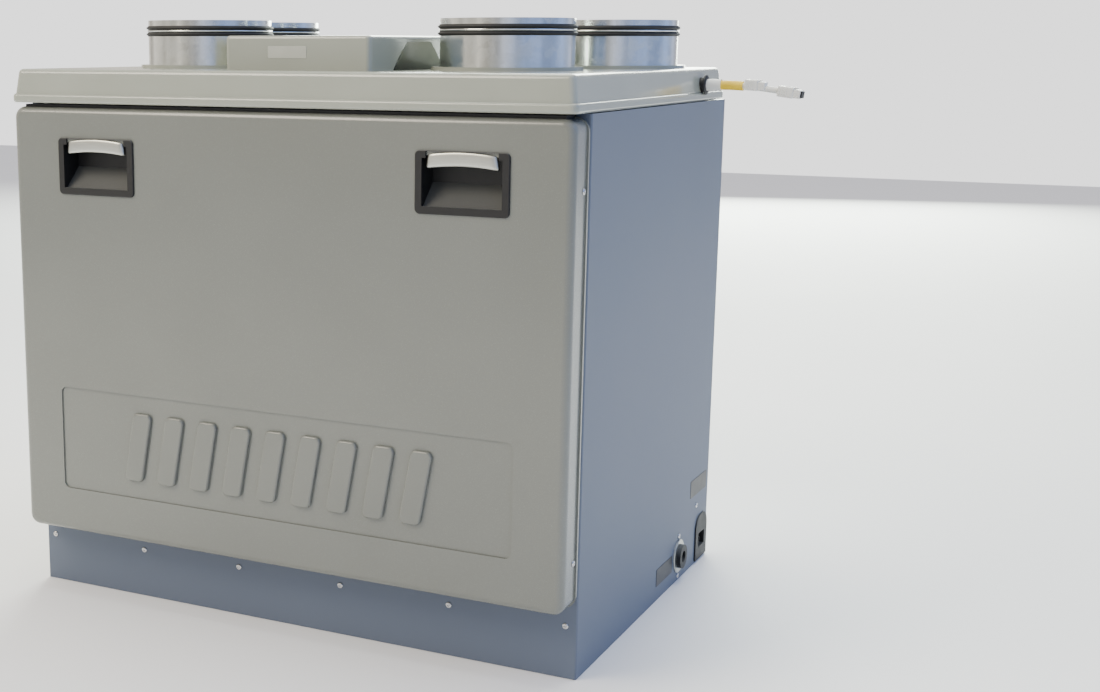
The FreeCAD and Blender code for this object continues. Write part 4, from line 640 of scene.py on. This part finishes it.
def addDuctSeals():
    p = ductSeal
    seals, beads = bmesh.new(), bmesh.new()
    outline = [*lowerHalf, *((word, 1 - at) for word, at in reversed(lowerHalf))]
    for low, high in solidBoxes("spigot_seals"):
        tall = high.z - low.z
        radii = {**p, "lip": (high.x - low.x) / 2 - p["lipShort"]}
        place = Matrix.Translation(((low.x + high.x) / 2, (low.y + high.y) / 2, low.z))
        turnProfile(seals, [(radii[word], at * tall) for word, at in outline], p["spokes"], place)
        arc = [math.pi * i / p["crimpSteps"] for i in range(p["crimpSteps"] + 1)]
        crimp = [
            (p["valley"] + p["crimpOut"] * math.sin(a), tall * 0.5 - p["crimpHalf"] * math.cos(a))
            for a in arc
        ]
        sunk = p["valley"] - p["crimpSunk"]
        turnProfile(beads, [(sunk, crimp[0][1]), *crimp, (sunk, crimp[-1][1])], p["spokes"], place)
    addPiece("ductSeals", seals, "seal_rubber", "cabinet", "spigot_seals")
    addPiece("sealCrimps", beads, "galvanised_sheet", "cabinet")


addDuctSeals()

# door pulls: a satin bar, arched along its length, wider at its lower edge
gripBar = {
    "arch": 3.2 * mm,
    "flare": 0.05,
    "columns": 36,
    "section": 28,
    "endPower": 14,  # how late the bar's ends start to close
    "endLeast": 0.35,  # thickness left at the very end
    "cornerPower": 0.45,  # 1 is an oval section and 0 a square one
    "endShrink": 0.2,
}


def addDoorPulls():
    p = gripBar
    grips = bmesh.new()
    for low, high in solidBoxes("handle_grips"):
        middle, size = (low + high) / 2, high - low
        rows = []
        for i in range(p["columns"] + 1):
            u = 2 * i / p["columns"] - 1
            squeeze = max((1 - abs(u) ** p["endPower"]) ** 0.5, p["endLeast"])
            lift = p["arch"] * (0.5 - u * u)
            row = []
            for k in range(p["section"]):
                turn = 2 * math.pi * k / p["section"]
                c, d = math.cos(turn), math.sin(turn)
                y = math.copysign(abs(c) ** p["cornerPower"], c) * size.y / 2 * squeeze
                tall = (size.z - p["arch"]) / 2 * (1 - p["endShrink"] + p["endShrink"] * squeeze)
                z = math.copysign(abs(d) ** p["cornerPower"], d) * tall
                wide = size.x / 2 * (1 - p["flare"] * (0.5 + z / size.z))
                row.append(grips.verts.new(middle + Vector((u * wide, y, z + lift))))
            rows.append(row)
        for before, after in zip(rows, rows[1:]):
            for k in range(p["section"]):
                j = (k + 1) % p["section"]
                grips.faces.new((before[k], after[k], after[j], before[j]))
        grips.faces.new(rows[0])
        grips.faces.new(rows[-1])
    addPiece("doorPulls", grips, "grip_metal", "door", "handle_grips")


addDoorPulls()

# blank film labels: a pale one on the lid's raised box, dark ones by the drain and the mains inlet
labelPlate = {"corner": 1.5 * mm, "bend": 6}
labelCorners = ((1, 1, 0), (-1, 1, 1), (-1, -1, 2), (1, -1, 3))  # across, up, quarter turns so far


def addLabel(i, low, high):
    p = labelPlate
    size, middle = high - low, (low + high) / 2
    thin = min(range(3), key=lambda k: size[k])
    across, up = [k for k in range(3) if k != thin]
    plate, rims = bmesh.new(), []
    for face in (-1, 1):
        rim = []
        for right, above, start in labelCorners:
            for k in range(p["bend"] + 1):
                turn = math.pi / 2 * (start + k / p["bend"])
                spot = [0, 0, 0]
                spot[across] = right * (size[across] / 2 - p["corner"]) + p["corner"] * math.cos(turn)
                spot[up] = above * (size[up] / 2 - p["corner"]) + p["corner"] * math.sin(turn)
                spot[thin] = face * size[thin] / 2
                rim.append(plate.verts.new(middle + Vector(spot)))
        plate.faces.new(rim)
        rims.append(rim)
    for k in range(len(rims[0])):
        plate.faces.new((rims[0][k - 1], rims[0][k], rims[1][k], rims[1][k - 1]))
    if low.z > cadBounds[1][2] / 2:  # the one on the lid's raised box
        label = addPiece("coverLabel", plate, "label_film", "cabinet", "blank_labels")
        label.data.materials[0] = paleLabel
    else:
        label = addPiece("sideLabel%d" % i, plate, "label_film", "cabinet")
    label.data.shade_flat()


for i, (low, high) in enumerate(solidBoxes("blank_labels")):
    addLabel(i, low, high)
print("screws, seals, pulls and labels")

# the lead out of the lid's right side: its route in millimetres from the grommet
leadRoute = {
    "radius": 4 * mm,
    "lead": 100.3 * mm,
    "steps": ((0, 0, 0), (42, 0, 0), (71, -1, -2), (100, -3, -6)),
}
cableBox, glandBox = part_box("lead_cable"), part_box("lead_gland")
leadStart = Vector((cableBox[0].x, (glandBox[0].y + glandBox[1].y) / 2, (glandBox[0].z + glandBox[1].z) / 2))
curve = bpy.data.curves.new("leadCurve", "CURVE")
curve.dimensions = "3D"
spline = curve.splines.new("NURBS")
spline.points.add(len(leadRoute["steps"]) - 1)
for point, step in zip(spline.points, leadRoute["steps"]):
    point.co = (*(leadStart + Vector(step) * mm), 1.0)
spline.order_u = 3
spline.use_endpoint_u = True
curve.bevel_depth = leadRoute["radius"]
curve.bevel_resolution = 6
curve.resolution_u = 24
lead = bpy.data.objects.new("flyingLead", curve)
bpy.context.scene.collection.objects.link(lead)
curve.materials.append(finishes["white_sleeve"])
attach(lead, "cabinet")
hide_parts("lead_cable")


def addBlock(mesh, centre, size, edge, place):  # a box with softened edges
    made = bmesh.ops.create_cube(mesh, size=1.0)["verts"]
    for vert in made:
        vert.co = Vector([c * s for c, s in zip(vert.co, size)]) + Vector(centre)
    edges = list({e for v in made for e in v.link_edges})
    soft = bmesh.ops.bevel(mesh, geom=edges, offset=edge, segments=3, profile=0.6, affect="EDGES")
    for vert in {v for v in made if v.is_valid} | set(soft["verts"]):
        vert.co = place @ vert.co


# white inline connectors, in mm: a body, a stepped nose, finger ribs and a latch; the last has a black cap
connector = {
    "width": 16.6,
    "height": 13.2,
    "nose": 9,
    "noseStep": (2.4, 2.6),  # how much narrower and lower the nose is
    "noseDrop": 0.4,
    "edge": 1.1,
    "latch": (0.55, 4.2, 1.4),  # length as a share of the connector, width, height
    "latchEdge": 0.4,
    "ribs": 4,
    "ribStart": 3,
    "ribPitch": 2.6,
    "rib": (1.2, 1.0, 3.5),  # length, width, and how much lower than the body
    "ribEdge": 0.35,
    "cap": 4,
    "capStep": (4.2, 4.4),  # how much narrower and lower the cap is
    "capEdge": 0.6,
    "capSunk": 2.2,
}


def addConnector(shells, low, high, way, spare):
    p = connector
    wide, tall, nose = p["width"], p["height"], p["nose"]
    span = (high.x - low.x) / mm - spare
    turn = way.normalized().to_track_quat("X", "Z").to_matrix().to_4x4()
    place = Matrix.Translation((low + high) / 2) @ turn @ Matrix.Scale(mm, 4)
    back, front = -span / 2, span / 2
    narrower, lower = p["noseStep"]
    noseSize = (nose + 2, wide - narrower, tall - lower)
    addBlock(shells, ((back + front - nose) / 2, 0, 0), (span - nose, wide, tall), p["edge"], place)
    addBlock(shells, (front - nose / 2 - 1, 0, -p["noseDrop"]), noseSize, p["edge"], place)
    share, latchWide, latchTall = p["latch"]
    addBlock(shells, (1, 0, tall / 2 - 0.2), (span * share, latchWide, latchTall), p["latchEdge"], place)
    ribLong, ribWide, ribLower = p["rib"]
    for i in range(p["ribs"]):
        x = back + p["ribStart"] + p["ribPitch"] * i
        for side in (-1, 1):
            addBlock(
                shells, (x, side * wide / 2, 0), (ribLong, ribWide, tall - ribLower), p["ribEdge"], place
            )
    return front, place


def addConnectorCap(caps, front, place):
    p = connector
    narrower, lower = p["capStep"]
    size = (p["cap"], p["width"] - narrower, p["height"] - lower)
    addBlock(caps, (front + p["cap"] / 2 - p["capSunk"], 0, -p["noseDrop"]), size, p["capEdge"], place)


shells, caps = bmesh.new(), bmesh.new()
joiner, plug = solidBoxes("lead_plug")
route = [Vector(step) for step in leadRoute["steps"]]
addConnector(shells, *joiner, route[2] - route[1], 2)
addConnectorCap(caps, *addConnector(shells, *plug, route[3] - route[2], 6))
connectors = addPiece("leadConnectors", shells, "white_sleeve", "cabinet", "lead_plug")
connectorCap = addPiece("leadConnectorCap", caps, "black_plastic", "cabinet")
print("lead")

# floor and studio light
floorSetup = {"size": 14.0, "colour": "fafaf9", "roughness": 0.8, "drop": 0.0005}
floorMesh = bpy.data.meshes.new("studioFloor")
half = floorSetup["size"] / 2
corners = [(-half, -half, 0), (half, -half, 0), (half, half, 0), (-half, half, 0)]
floorMesh.from_pydata(corners, [], [(0, 1, 2, 3)])
floor = bpy.data.objects.new("studioFloor", floorMesh)
floor.location.z = -floorSetup["drop"]
bpy.context.scene.collection.objects.link(floor)
floorMaterial, floorTree, floorShader, floorPlace = newMaterial(
    "paintedStudioFloor", floorSetup["colour"], floorSetup["roughness"]
)
floorCloud = addNode(floorTree, "ShaderNodeTexNoise", {"Scale": 3.0, "Detail": 2.0}, {"Vector": floorPlace})
varied(floorTree, floorShader, floorCloud.outputs["Fac"], "Roughness", 0.7, 0.8)
floorMesh.materials.append(floorMaterial)

lights = [
    {
        "name": "keyLight",
        "place": (-1.5, -2.1, 2.5),
        "aim": (-0.1, -0.3, 0.75),
        "size": 1.5,
        "power": 80,
        "colour": "fff3de",
    },
    {
        "name": "topLight",
        "place": (0.0, 0.5, 3.0),
        "aim": (0, 0, 0.5),
        "size": 2.2,
        "power": 66,
        "colour": "fbfff6",
    },
    {
        "name": "backLight",
        "place": (-1.3, 5.0, 2.0),
        "aim": (0, 0, 0.65),
        "size": 3.4,
        "power": 520,
        "colour": "f6fff4",
    },
    {
        "name": "sideLight",
        "place": (3.4, 0.3, 2.4),
        "aim": (0.3, 0, 0.35),
        "size": 2.0,
        "power": 20,
        "colour": "8fb0ff",
    },
]
for setup in lights:
    lamp = bpy.data.lights.new(setup["name"], "AREA")
    lamp.size = setup["size"]
    lamp.energy = setup["power"]
    lamp.color = linear(setup["colour"])[:3]
    fixture = bpy.data.objects.new(setup["name"], lamp)
    fixture.location = setup["place"]
    towards = Vector(setup["aim"]) - Vector(setup["place"])
    fixture.rotation_euler = towards.to_track_quat("-Z", "Y").to_euler()
    bpy.context.scene.collection.objects.link(fixture)
world = bpy.data.worlds.new("studioRoom")
bpy.context.scene.world = world
world.use_nodes = True
# soft room light: warm from the left and cool from the right, with broad panes for the gloss to pick up
room = {"warm": "fff6ea", "cool": "a3bcf2", "fill": (0.55, 1.45), "backdrop": 1.9}
sky = world.node_tree
background = sky.nodes["Background"]
direction = addNode(sky, "ShaderNodeTexCoord").outputs["Generated"]
split = addNode(sky, "ShaderNodeSeparateXYZ", None, {"Vector": direction})
across = addNode(
    sky, "ShaderNodeMapRange", {"From Min": -0.2, "From Max": 0.8}, {"Value": split.outputs["X"]}
)
tint = addNode(
    sky,
    "ShaderNodeMix",
    {"data_type": "RGBA", 6: linear(room["warm"]), 7: linear(room["cool"])},
    {0: across.outputs["Result"]},
)
tall = addNode(sky, "ShaderNodeMapping", {"Scale": (1.0, 1.0, 0.2)}, {"Vector": direction})
panes = addNode(sky, "ShaderNodeTexNoise", {"Scale": 2.6, "Detail": 1.0}, {"Vector": tall.outputs["Vector"]})
fill = addNode(
    sky,
    "ShaderNodeMapRange",
    {"From Min": 0.35, "From Max": 0.65, "To Min": room["fill"][0], "To Max": room["fill"][1]},
    {"Value": panes.outputs["Fac"]},
)
seen = addNode(sky, "ShaderNodeLightPath").outputs["Is Camera Ray"]
shown = addNode(
    sky, "ShaderNodeMix", {"data_type": "RGBA", 7: linear("ffffff")}, {0: seen, 6: tint.outputs[2]}
)
level = addNode(
    sky, "ShaderNodeMapRange", {"To Max": room["backdrop"]}, {"Value": seen, "To Min": fill.outputs["Result"]}
)
sky.links.new(shown.outputs[2], background.inputs["Color"])
sky.links.new(level.outputs["Result"], background.inputs["Strength"])
print("stage")
